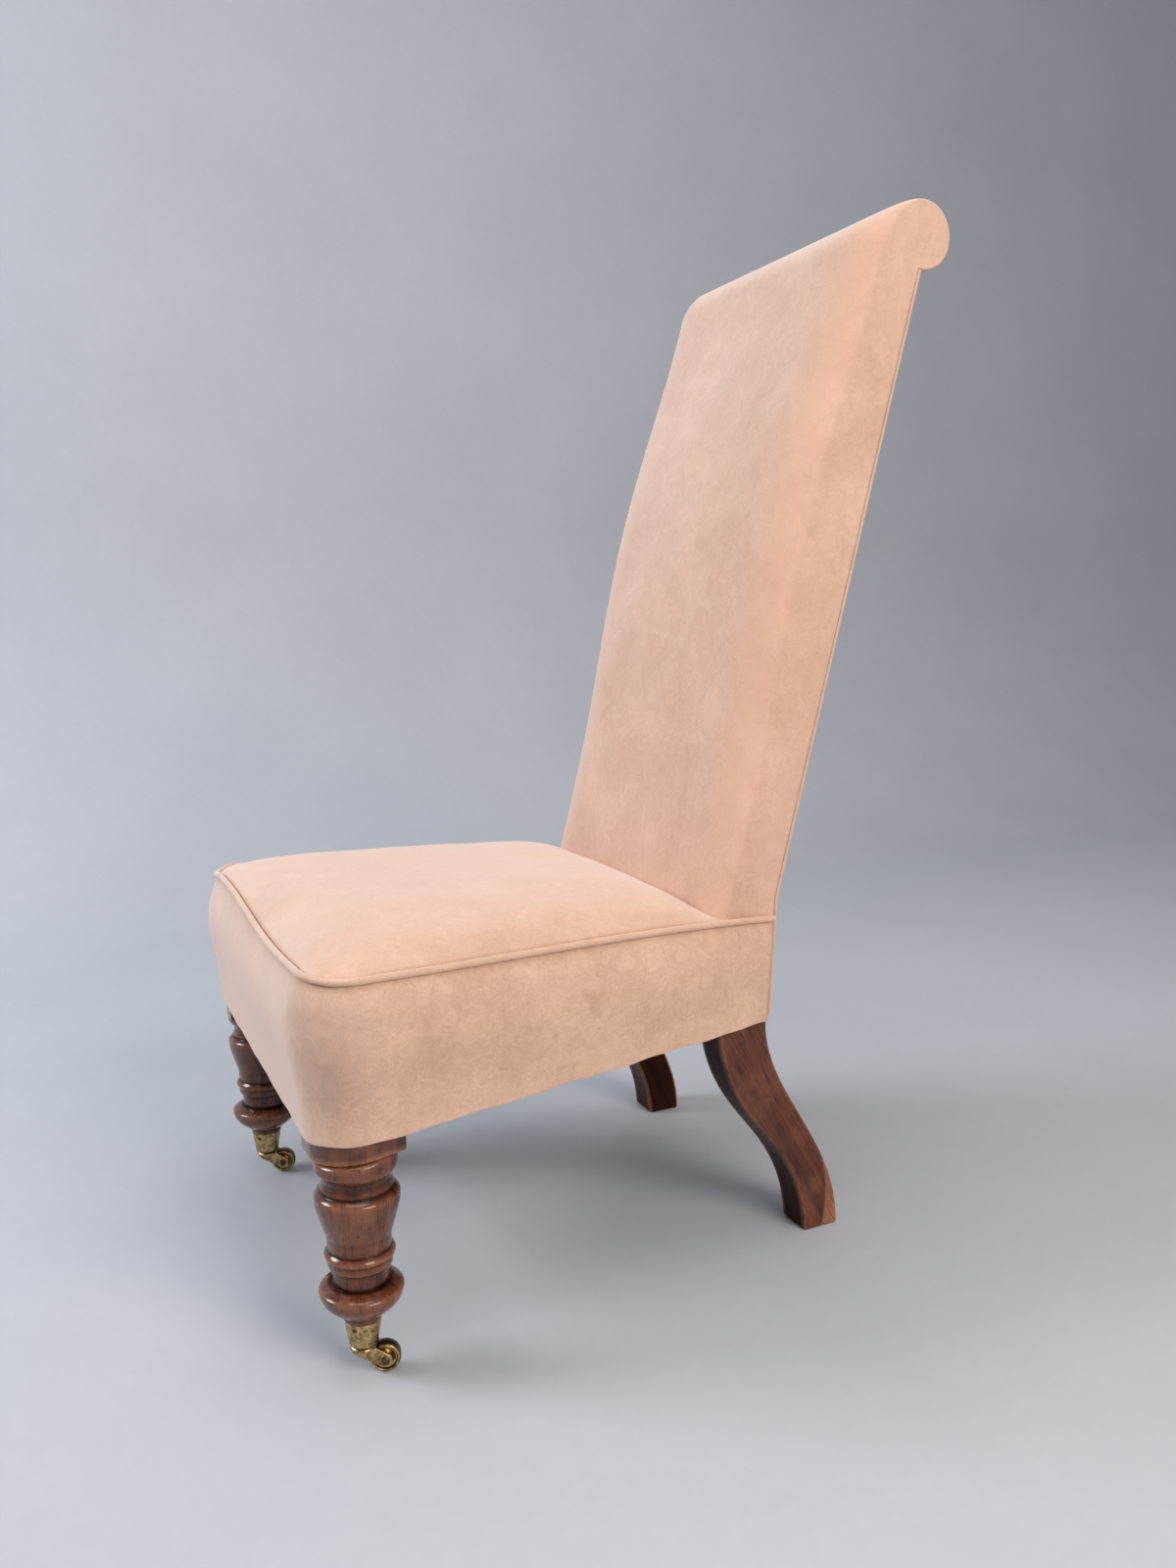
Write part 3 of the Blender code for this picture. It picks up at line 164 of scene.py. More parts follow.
# Rear posts: sabre leg and back upright sawn from one piece of mahogany, edges slightly rounded and worn.
# A rounded rectangle carried along the two curved edges; below the seat they show, above they are covered.
COVER_INSET = 0.0033
FRONT_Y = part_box("front_rail")[0][1] - COVER_INSET
SEAT_DEPTH = 0.459
REAR_HEM = 0.2344
BACK_RAKE = radians(14.2)
BEND_HEIGHT = 0.358
BEND_LEAN = 0.0065
POST_REAR_N = 0.0048
POST_FRONT_N = 0.0368
POST_OUTER = 0.1817
POST_WIDTH = 0.039
POST_ROUNDING = 0.0022
POST_TOP_T = 0.5987
LEG_STEP = 0.0025
LEG_DEPTH = 0.0545
FOOT_KICK = 0.0935
FOOT_DEPTH = 0.0405
LEG_REAR = SEAT_DEPTH - POST_REAR_N + LEG_STEP
LEG_FRONT = LEG_REAR - LEG_DEPTH
FOOT_REAR = LEG_REAR + FOOT_KICK
FOOT_FRONT = FOOT_REAR - FOOT_DEPTH
FOOT_ROUNDING = 0.005
FOOT_WEAR = 0.6
HEEL_SHARE = 0.48
HEEL_HEIGHT = 0.075
HEEL_CRISPNESS = 25
FRONT_SHADE = 0.8
INNER_SHADE = 0.85
UPRIGHT_ROWS = 10
KNEE_ROWS = 9
SABRE_ROWS = 72
CORNER_POINTS = 5
SIDE_POINTS = 32
FACE_POINTS = 6


def raked(t, n):
    """(y, z) of points t up the raked back from its bend and n in front of the outside back."""
    t, n = np.broadcast_arrays(np.asarray(t, float), np.asarray(n, float))
    return np.stack([FRONT_Y + SEAT_DEPTH + BEND_LEAN + t * sin(BACK_RAKE) - n * cos(BACK_RAKE),
                     BEND_HEIGHT + t * cos(BACK_RAKE) + n * sin(BACK_RAKE)], -1)


def bezier(depths, heights, steps):
    """A cubic curve in the side view from four handles, its points closer together towards the foot."""
    s = 1 - np.linspace(1, 0, steps)[:, None]**2
    weights = np.hstack([(1 - s)**3, 3 * (1 - s)**2 * s, 3 * (1 - s) * s**2, s**3])
    return np.stack([FRONT_Y + weights @ np.array(depths), weights @ np.array(heights) * REAR_HEM], -1)


def skin(points, around=True, ends=True):
    """Faces over a grid of points, rows by columns, joined round the columns and capped at both ends."""
    rows, columns = points.shape[:2]
    index = np.arange(rows * columns).reshape(rows, columns)
    wide = np.hstack([index, index[:, :1]]) if around else index
    quads = np.stack([wide[:-1, :-1], wide[:-1, 1:], wide[1:, 1:], wide[1:, :-1]], -1).reshape(-1, 4)
    caps = [index[0].tolist(), index[-1].tolist()] if ends else []
    return points.reshape(-1, 3), quads.tolist() + caps


def piece(name, shells, material, body, replaced=(), smooth=40, **marks):
    """A mesh object made of shells of points and faces, facing outwards, riding on a body and standing for
    the CAD nodes that it replaces. marks are point attributes."""
    points, faces, count = [], [], 0
    for shell_points, shell_faces in shells:
        points.append(shell_points)
        faces += [[i + count for i in face] for face in shell_faces]
        count += len(shell_points)
    mesh = bpy.data.meshes.new(name)
    mesh.from_pydata(np.concatenate(points).tolist(), [], faces)
    for key, values in marks.items():
        stored = mesh.attributes.new(key, "FLOAT", "POINT")
        stored.data.foreach_set("value", np.ascontiguousarray(values, np.float32).ravel())
    bm = bmesh.new()
    bm.from_mesh(mesh)
    bmesh.ops.remove_doubles(bm, verts=bm.verts, dist=0.000005)
    bmesh.ops.recalc_face_normals(bm, faces=bm.faces)
    bm.to_mesh(mesh)
    bm.free()
    mesh.shade_smooth()
    mesh.set_sharp_from_angle(angle=radians(smooth))
    mesh.materials.append(material)
    made = bpy.data.objects.new(name, mesh)
    bpy.context.scene.collection.objects.link(made)
    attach(made, body)
    if replaced:
        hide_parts(*replaced)
    return made


sawn_mahogany = wood("sawn_mahogany", (0.036, 0.009, 0.004, 1), (0.138, 0.037, 0.016, 1),
                     (0.36, 0.140, 0.066, 1), 0.28, 0.12, radians(-30), 0.28)
front_knee, rear_knee = raked(POST_FRONT_N / 2, POST_FRONT_N), raked(0, POST_REAR_N)
post_front = np.vstack([raked(np.linspace(POST_TOP_T, POST_FRONT_N / 2, UPRIGHT_ROWS), POST_FRONT_N)[:-1],
                        np.linspace(front_knee, (FRONT_Y + LEG_FRONT, REAR_HEM), KNEE_ROWS)[:-1],
                        bezier((LEG_FRONT, LEG_FRONT + 0.0105, FOOT_FRONT - 0.0083, FOOT_FRONT),
                               (1, 0.503, 0.488, 0), SABRE_ROWS)])
post_rear = np.vstack([raked(np.linspace(POST_TOP_T, 0, UPRIGHT_ROWS), POST_REAR_N)[:-1],
                       np.linspace(rear_knee, (FRONT_Y + LEG_REAR, REAR_HEM), KNEE_ROWS)[:-1],
                       bezier((LEG_REAR, LEG_REAR - 0.0006, FOOT_REAR - 0.0015, FOOT_REAR),
                              (1, 0.6685, 0.416, 0), SABRE_ROWS)])
corner = np.linspace(0, pi / 2, CORNER_POINTS)
side_span = np.linspace(0, 1, SIDE_POINTS + 2)[1:-1]
face_span = np.linspace(0, 1, FACE_POINTS + 2)[1:-1]
unshaded = np.zeros(CORNER_POINTS)
across, fixed, share, edge, shaded = [], [], [], [], []
for turn, side, end in ((-pi / 2, 1, 0), (0, 1, 1), (pi / 2, -1, 1), (pi, -1, 0)):
    across.append(side * (POST_WIDTH / 2 - POST_ROUNDING) + POST_ROUNDING * np.cos(corner + turn))
    fixed.append(POST_ROUNDING * (1 if end == 0 else -1) + POST_ROUNDING * np.sin(corner + turn))
    share.append(np.full(CORNER_POINTS, end))
    if side == 1 - 2 * end:
        rise = side_span if side == 1 else 1 - side_span
        across.append(np.full(rise.size, side * POST_WIDTH / 2))
        fixed.append(POST_ROUNDING * (1 - 2 * rise))
        share.append(rise)
        shaded.append(np.hstack([unshaded, np.full(rise.size, 0.0 if side == 1 else INNER_SHADE)]))
    else:
        across.append(side * (1 - 2 * face_span) * (POST_WIDTH / 2 - POST_ROUNDING))
        fixed.append(np.zeros(FACE_POINTS))
        share.append(np.full(FACE_POINTS, end))
        shaded.append(np.hstack([unshaded, np.full(FACE_POINTS, FRONT_SHADE * (1 - end))]))
    edge.append(np.hstack([np.ones(CORNER_POINTS), np.zeros(len(share[-1]))]))
ring = (across, fixed, share, edge, shaded)
across, fixed, share, edge, shaded = (np.concatenate(values) for values in ring)
depth = np.linalg.norm(post_rear - post_front, axis=1)[:, None]
way = (post_rear - post_front) / depth
run = fixed[None, :] + share[None, :] * depth
worn_off = np.clip(1 - post_front[:, 1:] / FOOT_ROUNDING, 0, 1)
worn_off = FOOT_WEAR * FOOT_ROUNDING * (1 - np.sqrt(1 - worn_off**2))
run = run + worn_off * (1 - 2 * share[None, :])
across = across[None, :] * (1 - worn_off / (POST_WIDTH / 2))
heel_line = HEEL_SHARE + (1 - HEEL_SHARE) * post_front[:, 1:] / HEEL_HEIGHT
heel = np.clip((share[None, :] - heel_line) * HEEL_CRISPNESS, 0, 1) * (shaded[None, :] == 0)
post_wear = np.clip(0.24 * edge[None, :] + 0.95 * heel, 0, 1)
# Painted shade: the post's front face and inner side are darkened as if in shadow, except on the heel.
post_recess = np.repeat(shaded[None, :], len(run), 0) * (1 - heel)
for side, sign in (("left", 1), ("right", -1)):
    grid = np.stack([sign * (POST_OUTER - POST_WIDTH / 2 + across),
                     post_front[:, :1] + way[:, :1] * run, post_front[:, 1:] + way[:, 1:] * run], -1)
    piece(f"sabre_leg_{side}", [skin(grid)], sawn_mahogany, "chair", [f"rear_post_{side}"],
          wear=post_wear, recess=post_recess)


# Front legs: turned mahogany below a square block whose outer corner follows the seat.
# A lathe profile of named turnings, its edges softened, and a block lofted from the seat's own outline.
SEAT_HALF_WIDTH = 0.241
BACK_WIDTH = 0.370
TAPER = (SEAT_HALF_WIDTH - BACK_WIDTH / 2) / SEAT_DEPTH
SLANT = hypot(1, TAPER)
SEAT_CORNER = 0.045
CORNER_X = SEAT_HALF_WIDTH - (TAPER + SLANT) * SEAT_CORNER
RAIL_TOP = 0.285
BLOCK_FOOT = 0.197
BLOCK_SLOPE = 0.105
BLOCK_DEPTH = 0.072
BLOCK_REAR = COVER_INSET + BLOCK_DEPTH
BLOCK_WIDTH = 0.067
BLOCK_ROUNDING = 0.0014
SOCKET_TOP = 0.0498
SOCKET_TOP_RADIUS = 0.0156
TURNING_FOOT = 0.0425
TURNING_TOP = 0.181
TURNING_LENGTH = TURNING_TOP - TURNING_FOOT
DRUM = 0.0343
WAIST = 0.027
URN = 0.0352
BULB = 0.0351
LEG_LEAN = 0.0165
LEAN_FROM = 0.060
LEAN_WAY = np.array([-0.44, -0.90])
LEG_STEPS = 88
socket_low, socket_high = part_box("caster_socket_left")
LEG_X = (socket_low[0] + socket_high[0]) / 2
LEG_Y = (socket_low[1] + socket_high[1]) / 2


def swell(start, end, bulge, steps=14):
    """Profile points from one turning to the next, pushed out or in by a sine."""
    s = np.linspace(0, 1, steps)[:, None]
    line = np.array(start) + (np.array(end) - np.array(start)) * s
    return line + np.hstack([bulge * np.sin(pi * s), 0 * s])


def resampled(line, spacing):
    """A line of points set out again at even spacing."""
    steps = np.linalg.norm(np.diff(line, axis=0), axis=1)
    line = line[np.hstack([True, steps > 1e-7])]
    length = np.hstack([0, np.cumsum(np.linalg.norm(np.diff(line, axis=0), axis=1))])
    even = np.linspace(0, length[-1], int(length[-1] / spacing) + 2)
    return np.stack([np.interp(even, length, line[:, k]) for k in range(line.shape[1])], -1)


def averaged(values, width):
    """Each value averaged with its neighbours under a bell of the given width in points; ends stay put."""
    reach = int(3 * width) + 1
    bell = np.exp(-0.5 * (np.arange(-reach, reach + 1) / width)**2)
    first = 2 * values[:1] - values[reach:0:-1]
    last = 2 * values[-1:] - values[-2:-reach - 2:-1]
    padded = np.concatenate([first, values, last])
    columns = range(values.shape[1])
    return np.stack([np.convolve(padded[:, k], bell / bell.sum(), "valid") for k in columns], -1)


def outwards(line):
    """The outward direction at each point of a closed line, square to the chord between its neighbours."""
    chord = np.roll(line, -1, 0) - np.roll(line, 1, 0)
    out = np.stack([chord[:, 1], -chord[:, 0]], -1)
    return out / np.linalg.norm(out, axis=1)[:, None]


def turning(radius, height):
    """A profile point whose height is a share of the turning."""
    return radius, TURNING_FOOT + TURNING_LENGTH * height


mahogany = wood("mahogany", (0.030, 0.008, 0.004, 1), (0.140, 0.039, 0.017, 1), (0.36, 0.140, 0.066, 1),
                0.17, 0.35)
leg_profile = np.vstack([
    [(DRUM - 0.008, BLOCK_FOOT), (DRUM - 0.0022, BLOCK_FOOT - 0.0004)],
    swell((DRUM - 0.0021, BLOCK_FOOT - 0.0005), (DRUM, BLOCK_FOOT - 0.0036), 0.0006, 6),
    swell(turning(DRUM, 1.06), turning(0.0305, 0.988), 0.0014),
    swell(turning(WAIST + 0.0030, 0.984), turning(WAIST + 0.0032, 0.913), -0.0013),
    [turning(URN - 0.0055, 0.909), turning(URN - 0.0053, 0.893)],
    swell(turning(URN - 0.0047, 0.888), turning(URN, 0.84), 0.0018),
    swell(turning(URN, 0.84), turning(URN - 0.0022, 0.748), 0.0007),
    swell(turning(URN - 0.0022, 0.748), turning(WAIST, 0.60), 0.0002),
    [turning(WAIST - 0.0008, 0.516)],
    swell(turning(WAIST, 0.511), turning(WAIST, 0.455), 0.0025),
    [turning(WAIST + 0.0002, 0.45), turning(WAIST - 0.0002, 0.41)],
    [turning(0.0242, 0.40), turning(0.0233, 0.35), turning(0.0232, 0.30)],
    [turning(0.0242, 0.296)],
    swell(turning(BULB - 0.007, 0.290), turning(BULB, 0.244), 0.0025),
    swell(turning(BULB, 0.244), turning(0.0216, 0.112), 0.0031),
    [turning(0.0172, 0.105), (SOCKET_TOP_RADIUS + 0.0005, SOCKET_TOP + 0.0003)],
    [(SOCKET_TOP_RADIUS - 0.0017, SOCKET_TOP + 0.0003), (0.0112, 0.0324)],
])
leg_profile = averaged(resampled(leg_profile, 0.0006), 0.8)
proud = (leg_profile - averaged(leg_profile, 6))[:, 0]
leg_wear = np.clip(proud / 0.0012, 0, 1) * 0.5
# Painted shade in the hollows of the turnings, where they sink below their neighbours.
leg_recess = np.clip(-proud / 0.0009 - 0.1, 0, 1) * 0.9
leg_height = leg_profile[:, 1:]
angle = np.linspace(0, 2 * pi, LEG_STEPS, endpoint=False)
lean = LEG_LEAN * np.maximum(leg_height - LEAN_FROM, 0)
lathe_y = leg_profile[:, :1] * np.sin(angle) + lean * LEAN_WAY[1]
tilt = BLOCK_SLOPE * np.clip((leg_height - BLOCK_FOOT + 0.014) / 0.010, 0, 1)
lathe = np.stack([leg_profile[:, :1] * np.cos(angle) + lean * LEAN_WAY[0], lathe_y,
                  leg_height + tilt * lathe_y], -1)
corner_turn = np.linspace(-pi / 2, atan2(TAPER, 1), 24)
corner_radius = SEAT_CORNER - COVER_INSET
block_inner = LEG_X - BLOCK_WIDTH / 2
block_outer = SEAT_HALF_WIDTH - TAPER * BLOCK_REAR - SLANT * COVER_INSET
block_plan = np.vstack([[(LEG_X, BLOCK_REAR), (block_inner, BLOCK_REAR), (block_inner, COVER_INSET)],
                        np.stack([CORNER_X + corner_radius * np.cos(corner_turn),
                                  SEAT_CORNER + corner_radius * np.sin(corner_turn)], -1),
                        [(block_outer, BLOCK_REAR), (LEG_X, BLOCK_REAR)]])
block_plan = averaged(resampled(block_plan, 0.0012), 1.1)[:-1]
rounding = np.linspace(0, pi / 2, 5)
block_inset = np.hstack([BLOCK_ROUNDING * (1 - np.sin(rounding)), np.zeros(8)])
block_rise = np.hstack([BLOCK_ROUNDING * (1 - np.cos(rounding)),
                        np.linspace(0.006, RAIL_TOP - BLOCK_FOOT, 8)])
block_flat = block_plan[None] - block_inset[:, None, None] * outwards(block_plan)[None]
block_y = FRONT_Y + block_flat[..., 1] - LEG_Y
block_tilt = BLOCK_SLOPE * block_y * (1 - block_rise / block_rise[-1])[:, None]
block_grid = np.stack([block_flat[..., 0] - LEG_X, block_y,
                       BLOCK_FOOT + block_rise[:, None] + block_tilt], -1)
block_wear = np.repeat(np.clip(1.1 - block_rise / 0.005, 0, 1)[:, None], len(block_plan), 1)
wear = np.hstack([np.repeat(leg_wear, LEG_STEPS), block_wear.ravel()])
recess = np.hstack([np.repeat(leg_recess, LEG_STEPS), np.zeros(block_wear.size)])
for side, sign in (("left", 1), ("right", -1)):
    flip = np.array([sign, 1, 1])
    place = np.array([sign * LEG_X, LEG_Y, 0])
    shells = [skin(lathe * flip + place), skin(block_grid * flip + place)]
    piece(f"turned_leg_{side}", shells, mahogany, "chair", [f"front_leg_{side}"], wear=wear, recess=recess)


# Casters: old cast brass, a tapered socket screwed to the leg, a horn with two arms, and a dished wheel.
# Lathe profiles for the round pieces, the collar cut away over the wheel, and rounded plates for the arms,
# set at the heading of the CAD ones.
SOCKET_FOOT = 0.0268
HEADING = radians(72)
TRAIL = 0.0178
WHEEL_RADIUS = 0.013
WHEEL_HALF = 0.0055
ARM_INNER = 0.0065
ARM_OUTER = 0.0091
ARM_END = 0.006
SOCKET_FOOT_RADIUS = 0.0122
COLLAR_TOP = SOCKET_FOOT - 0.0003
COLLAR_FOOT = COLLAR_TOP - 0.0048
SCREW_HEIGHT = 0.0452
SCREW_HEADING = radians(-44)
WHEEL_CLEARANCE = 0.0006
SIDE_CLEARANCE = 0.0008
ROUND_STEPS = 64


def metal(name, bright, dull, dirt_and_shade_colour, rough):
    """Old brass: bright where rubbed, dulled in clouds, dark specks, painted shade and dirt where marked."""
    material, tree, shader = blank(name)
    place = add(tree, "ShaderNodeTexCoord").outputs["Object"]
    clouds = noise(tree, place, 240.0, 5.0, 0.65, 0.6)
    specks = noise(tree, place, 900.0, 3.0, 0.6)
    scratches = noise(tree, place, (1400.0, 1400.0, 60.0), 2.0, 0.5)
    colour = mix(tree, between(tree, clouds, 0.38, 0.62), dull, bright)
    colour = mix(tree, between(tree, specks, 0.58, 0.70, 0.0, 0.85), colour, dirt_and_shade_colour)
    colour = mix(tree, between(tree, scratches, 0.62, 0.72, 0.0, 0.5), colour, dirt_and_shade_colour)
    # Painted shade in gaps and grooves, and dirt, where the shade attribute is high.
    colour = mix(tree, mark(tree, "recess"), colour, dirt_and_shade_colour)
    colour = mix(tree, maths(tree, "MULTIPLY", mark(tree, "wear"), 0.6), colour, bright)
    uneven = blended(tree, (clouds, 0.4), (specks, 0.3), (scratches, 0.3))
    wire(tree, shader, {"Base Color": colour, "Metallic": 1.0, "Normal": bumped(tree, uneven, 0.3, 0.0003),
                        "Roughness": between(tree, clouds, 0.35, 0.7, rough + 0.2, rough)})
    return material


brass = metal("brass", (0.72, 0.52, 0.23, 1), (0.22, 0.145, 0.07, 1), (0.045, 0.028, 0.016, 1), 0.22)
dark_brass = metal("dark_brass", (0.17, 0.11, 0.05, 1), (0.07, 0.05, 0.03, 1), (0.02, 0.014, 0.009, 1), 0.4)


def round_shell(profile, steps=ROUND_STEPS, spacing=0.0003, width=0.8, axis="z"):
    """A lathe profile of (radius, height), softened and turned about Z or Y."""
    line = averaged(resampled(np.array(profile, float), spacing), width)
    turn = np.linspace(0, 2 * pi, steps, endpoint=False)
    first, second = line[:, :1] * np.cos(turn), line[:, :1] * np.sin(turn)
    height = np.repeat(line[:, 1:], steps, 1)
    return np.stack([first, second, height] if axis == "z" else [first, height, second], -1)


def plate(outline, low, high, rounding):
    """A flat piece with rounded edges: an outline of (x, z) points carried along Y."""
    line = averaged(resampled(np.vstack([outline, outline[:1]]), 0.0005), 1.2)[:-1]
    turn = np.linspace(0, pi / 2, 4)
    inset = rounding * np.hstack([1 - np.sin(turn), 1 - np.sin(turn[::-1])])
    level = np.hstack([low + rounding * (1 - np.cos(turn)), high - rounding * (1 - np.cos(turn[::-1]))])
    flat = line[None] - inset[:, None, None] * outwards(line)[None]
    return np.stack([flat[..., 0], np.repeat(level[:, None], len(line), 1), flat[..., 1]], -1)


socket_profile = [(SOCKET_TOP_RADIUS - 0.0015, SOCKET_TOP - 0.0007), (SOCKET_TOP_RADIUS - 0.0013, SOCKET_TOP),
                  (SOCKET_TOP_RADIUS, SOCKET_TOP), (SOCKET_FOOT_RADIUS, SOCKET_FOOT + 0.0006),
                  (SOCKET_FOOT_RADIUS - 0.0005, SOCKET_FOOT), (0.005, SOCKET_FOOT)]
collar_profile = [(0.003, COLLAR_TOP), (0.0086, COLLAR_TOP), (0.0088, COLLAR_TOP - 0.0008),
                  (0.0104, COLLAR_TOP - 0.0010), (0.0116, COLLAR_TOP - 0.0022), (0.0116, COLLAR_TOP - 0.0036),
                  (0.0100, COLLAR_FOOT), (0.0085, COLLAR_FOOT - 0.0012), (0.003, COLLAR_FOOT - 0.0015)]
wheel_profile = [(0.0024, WHEEL_HALF * 0.9), (0.0040, WHEEL_HALF * 0.9), (0.0048, WHEEL_HALF * 0.45),
                 (0.0090, WHEEL_HALF * 0.80), (0.0096, WHEEL_HALF * 0.72), (0.0102, WHEEL_HALF),
                 (0.0116, WHEEL_HALF), (0.0120, WHEEL_HALF * 0.86), (0.0127, WHEEL_HALF * 0.66),
                 (WHEEL_RADIUS, 0.0)]
wheel_profile += [(radius, -height) for radius, height in wheel_profile[-2::-1]] + wheel_profile[:1]
pin_profile = [(0.0002, ARM_OUTER + 0.0015), (0.0024, ARM_OUTER + 0.0012), (0.0036, ARM_OUTER + 0.0004),
               (0.0036, ARM_OUTER + 0.0001), (0.0021, ARM_OUTER)]
pin_profile += [(radius, -height) for radius, height in pin_profile[::-1]]
screw_profile = [(0.0011, 0.0062), (0.0011, 0.0125), (0.0025, 0.0128), (0.0025, 0.0148), (0.0018, 0.0151),
                 (0.0002, 0.0152)]
arm_turn = np.radians(np.linspace(-130, 75, 24))
arm_outline = np.vstack([[(0.0096, COLLAR_TOP - 0.0015), (-0.0085, COLLAR_TOP - 0.0018),
                          (-0.0092, COLLAR_FOOT + 0.0008), (-0.004, COLLAR_FOOT - 0.0034)],
                         np.stack([TRAIL + ARM_END * np.cos(arm_turn),
                                   WHEEL_RADIUS + ARM_END * np.sin(arm_turn)], -1)])
socket_shell, collar_shell = round_shell(socket_profile), round_shell(collar_profile)
from_axle = np.abs(collar_shell[..., 0] - TRAIL)
wheel_room = WHEEL_RADIUS + WHEEL_CLEARANCE
over_wheel = WHEEL_RADIUS + np.sqrt(np.maximum(wheel_room**2 - from_axle**2, 0))
relieved = (np.abs(collar_shell[..., 1]) < WHEEL_HALF + SIDE_CLEARANCE) & (from_axle < wheel_room)
collar_rise = collar_shell[..., 2]
collar_shell[..., 2] = np.where(relieved, np.maximum(collar_rise, over_wheel), collar_rise)
wheel_shell = round_shell(wheel_profile, axis="y")
pin_shell = round_shell(pin_profile, 32, 0.0002, axis="y")
screw_shell = round_shell(screw_profile, 24, 0.0002)
arm_shells = [plate(arm_outline, low, high, 0.0006)
              for low, high in ((ARM_INNER, ARM_OUTER), (-ARM_OUTER, -ARM_INNER))]
# Painted shade in the wheel's groove and in the gap between socket and collar; the tread and arms are darker.
wheel_groove_shade = 0.9 * np.exp(-((wheel_shell[:, 0, 0] - 0.0096) / 0.0004)**2)
wheel_tread = np.clip((wheel_shell[:, 0, 0] - 0.0117) / 0.0004, 0, 1) * 0.75
socket_gap_shade = np.clip(1 - (socket_shell[:, 0, 2] - SOCKET_FOOT) / 0.0012, 0, 1) * 0.8
collar_gap_shade = np.clip((collar_shell[:, 0, 2] - COLLAR_TOP + 0.0013) / 0.0004, 0, 1) * 0.95
arm_points = sum(shell[..., 0].size for shell in arm_shells)
horn_shade_and_dirt = np.hstack([np.repeat(collar_gap_shade, ROUND_STEPS), np.full(arm_points, 0.12)])
lying = np.array(Matrix.Rotation(pi / 2, 3, "Y"))
turned = np.array(Matrix.Rotation(HEADING, 3, "Z"))
axle = np.array([TRAIL, 0, WHEEL_RADIUS])
for side, sign in (("left", 1), ("right", -1)):
    place = np.array([sign * LEG_X, LEG_Y, 0])
    piece(f"brass_socket_{side}", [skin(socket_shell + place)], brass, "chair", [f"caster_socket_{side}"],
          recess=np.repeat(socket_gap_shade, ROUND_STEPS))
    for number, heading in (("1", SCREW_HEADING), ("2", SCREW_HEADING + pi)):
        spun = np.array(Matrix.Rotation(heading, 3, "Z")) @ lying
        points = screw_shell @ spun.T + place + np.array([0, 0, SCREW_HEIGHT])
        piece(f"socket_screw_{side}_{number}", [skin(points)], dark_brass, "chair",
              [f"caster_screw_{side}_{number}"])
    horn_shells = [skin(shell @ turned.T + place) for shell in [collar_shell] + arm_shells]
    piece(f"brass_horn_{side}", horn_shells, brass, f"caster_{side}", [f"caster_horn_{side}"],
          recess=horn_shade_and_dirt)
    pin, wheel = ((shell + axle) @ turned.T + place for shell in (pin_shell, wheel_shell))
    piece(f"axle_pin_{side}", [skin(pin)], dark_brass, f"caster_{side}", [f"caster_axle_{side}"])
    piece(f"brass_wheel_{side}", [skin(wheel, ends=False)], brass, f"wheel_{side}", [f"caster_wheel_{side}"],
          recess=np.repeat(np.maximum(wheel_groove_shade, wheel_tread), ROUND_STEPS))


# Springing: jute webs under the rails, black enamelled coil springs, hessian over them and over the back.
# All of it lies hidden inside the upholstery, so the CAD solids stay and get a woven or wire finish.
def woven(name, dark, light, count):
    """Plain weave: two sets of fine waves that cross, with the colour of the yarn varied by noise."""
    material, tree, shader = blank(name)
    place = add(tree, "ShaderNodeTexCoord").outputs["Object"]
    along = add(tree, "ShaderNodeTexWave", {"Vector": place, "Scale": count, "Distortion": 0.6},
                bands_direction="X").outputs["Fac"]
    over = add(tree, "ShaderNodeTexWave", {"Vector": place, "Scale": count, "Distortion": 0.6},
               bands_direction="Y").outputs["Fac"]
    weave = maths(tree, "MAXIMUM", along, over)
    slub = noise(tree, place, 300.0, 3.0, 0.6)
    colour = mix(tree, blended(tree, (weave, 0.6), (slub, 0.4)), dark, light)
    wire(tree, shader, {"Base Color": colour, "Roughness": 0.95, "Normal": bumped(tree, weave, 0.5, 0.0004)})
    return material


jute = woven("jute_web", (0.20, 0.13, 0.065, 1), (0.45, 0.33, 0.19, 1), 180.0)
hessian = woven("hessian", (0.22, 0.155, 0.08, 1), (0.50, 0.38, 0.23, 1), 240.0)
enamel = metal("spring_wire", (0.10, 0.10, 0.10, 1), (0.05, 0.05, 0.05, 1), (0.10, 0.05, 0.03, 1), 0.4)
for name, node in nodes.items():
    if "_web_" in name:
        node.data.materials[0] = jute
    elif "hessian" in name:
        node.data.materials[0] = hessian
    elif "spring" in name:
        node.data.materials[0] = enamel


# Bottoming: a black cotton cloth tacked under the rails, cut round the leg blocks and posts.
# A thin sheet on the CAD cloth's own outline that hangs a little between its tacked edges.
CLOTH = 0.001
CLOTH_SAG = 0.004
CLOTH_COLUMNS = 61
black_cotton = woven("black_cotton", (0.006, 0.006, 0.006, 1), (0.020, 0.019, 0.018, 1), 420.0)
cloth_low, cloth_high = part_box("bottoming_cloth")
cloth_node = nodes["bottoming_cloth"]
cloth_points = np.array([vertex.co[:] for vertex in cloth_node.data.vertices])
front_half = cloth_points[np.isclose(cloth_points[:, 1], cloth_low[1], atol=0.001), 0].max()
rear_half = cloth_points[np.isclose(cloth_points[:, 1], cloth_high[1], atol=0.001), 0].max()
wide_points = cloth_points[cloth_points[:, 0] > front_half + 0.01]
step_front, step_rear = wide_points[:, 1].min(), wide_points[:, 1].max()
wide_front = wide_points[np.isclose(wide_points[:, 1], step_front, atol=0.001), 0].max()
wide_rear = wide_points[np.isclose(wide_points[:, 1], step_rear, atol=0.001), 0].max()
cloth_slope = (cloth_high[2] - cloth_low[2] - CLOTH) / (cloth_high[1] - cloth_low[1])


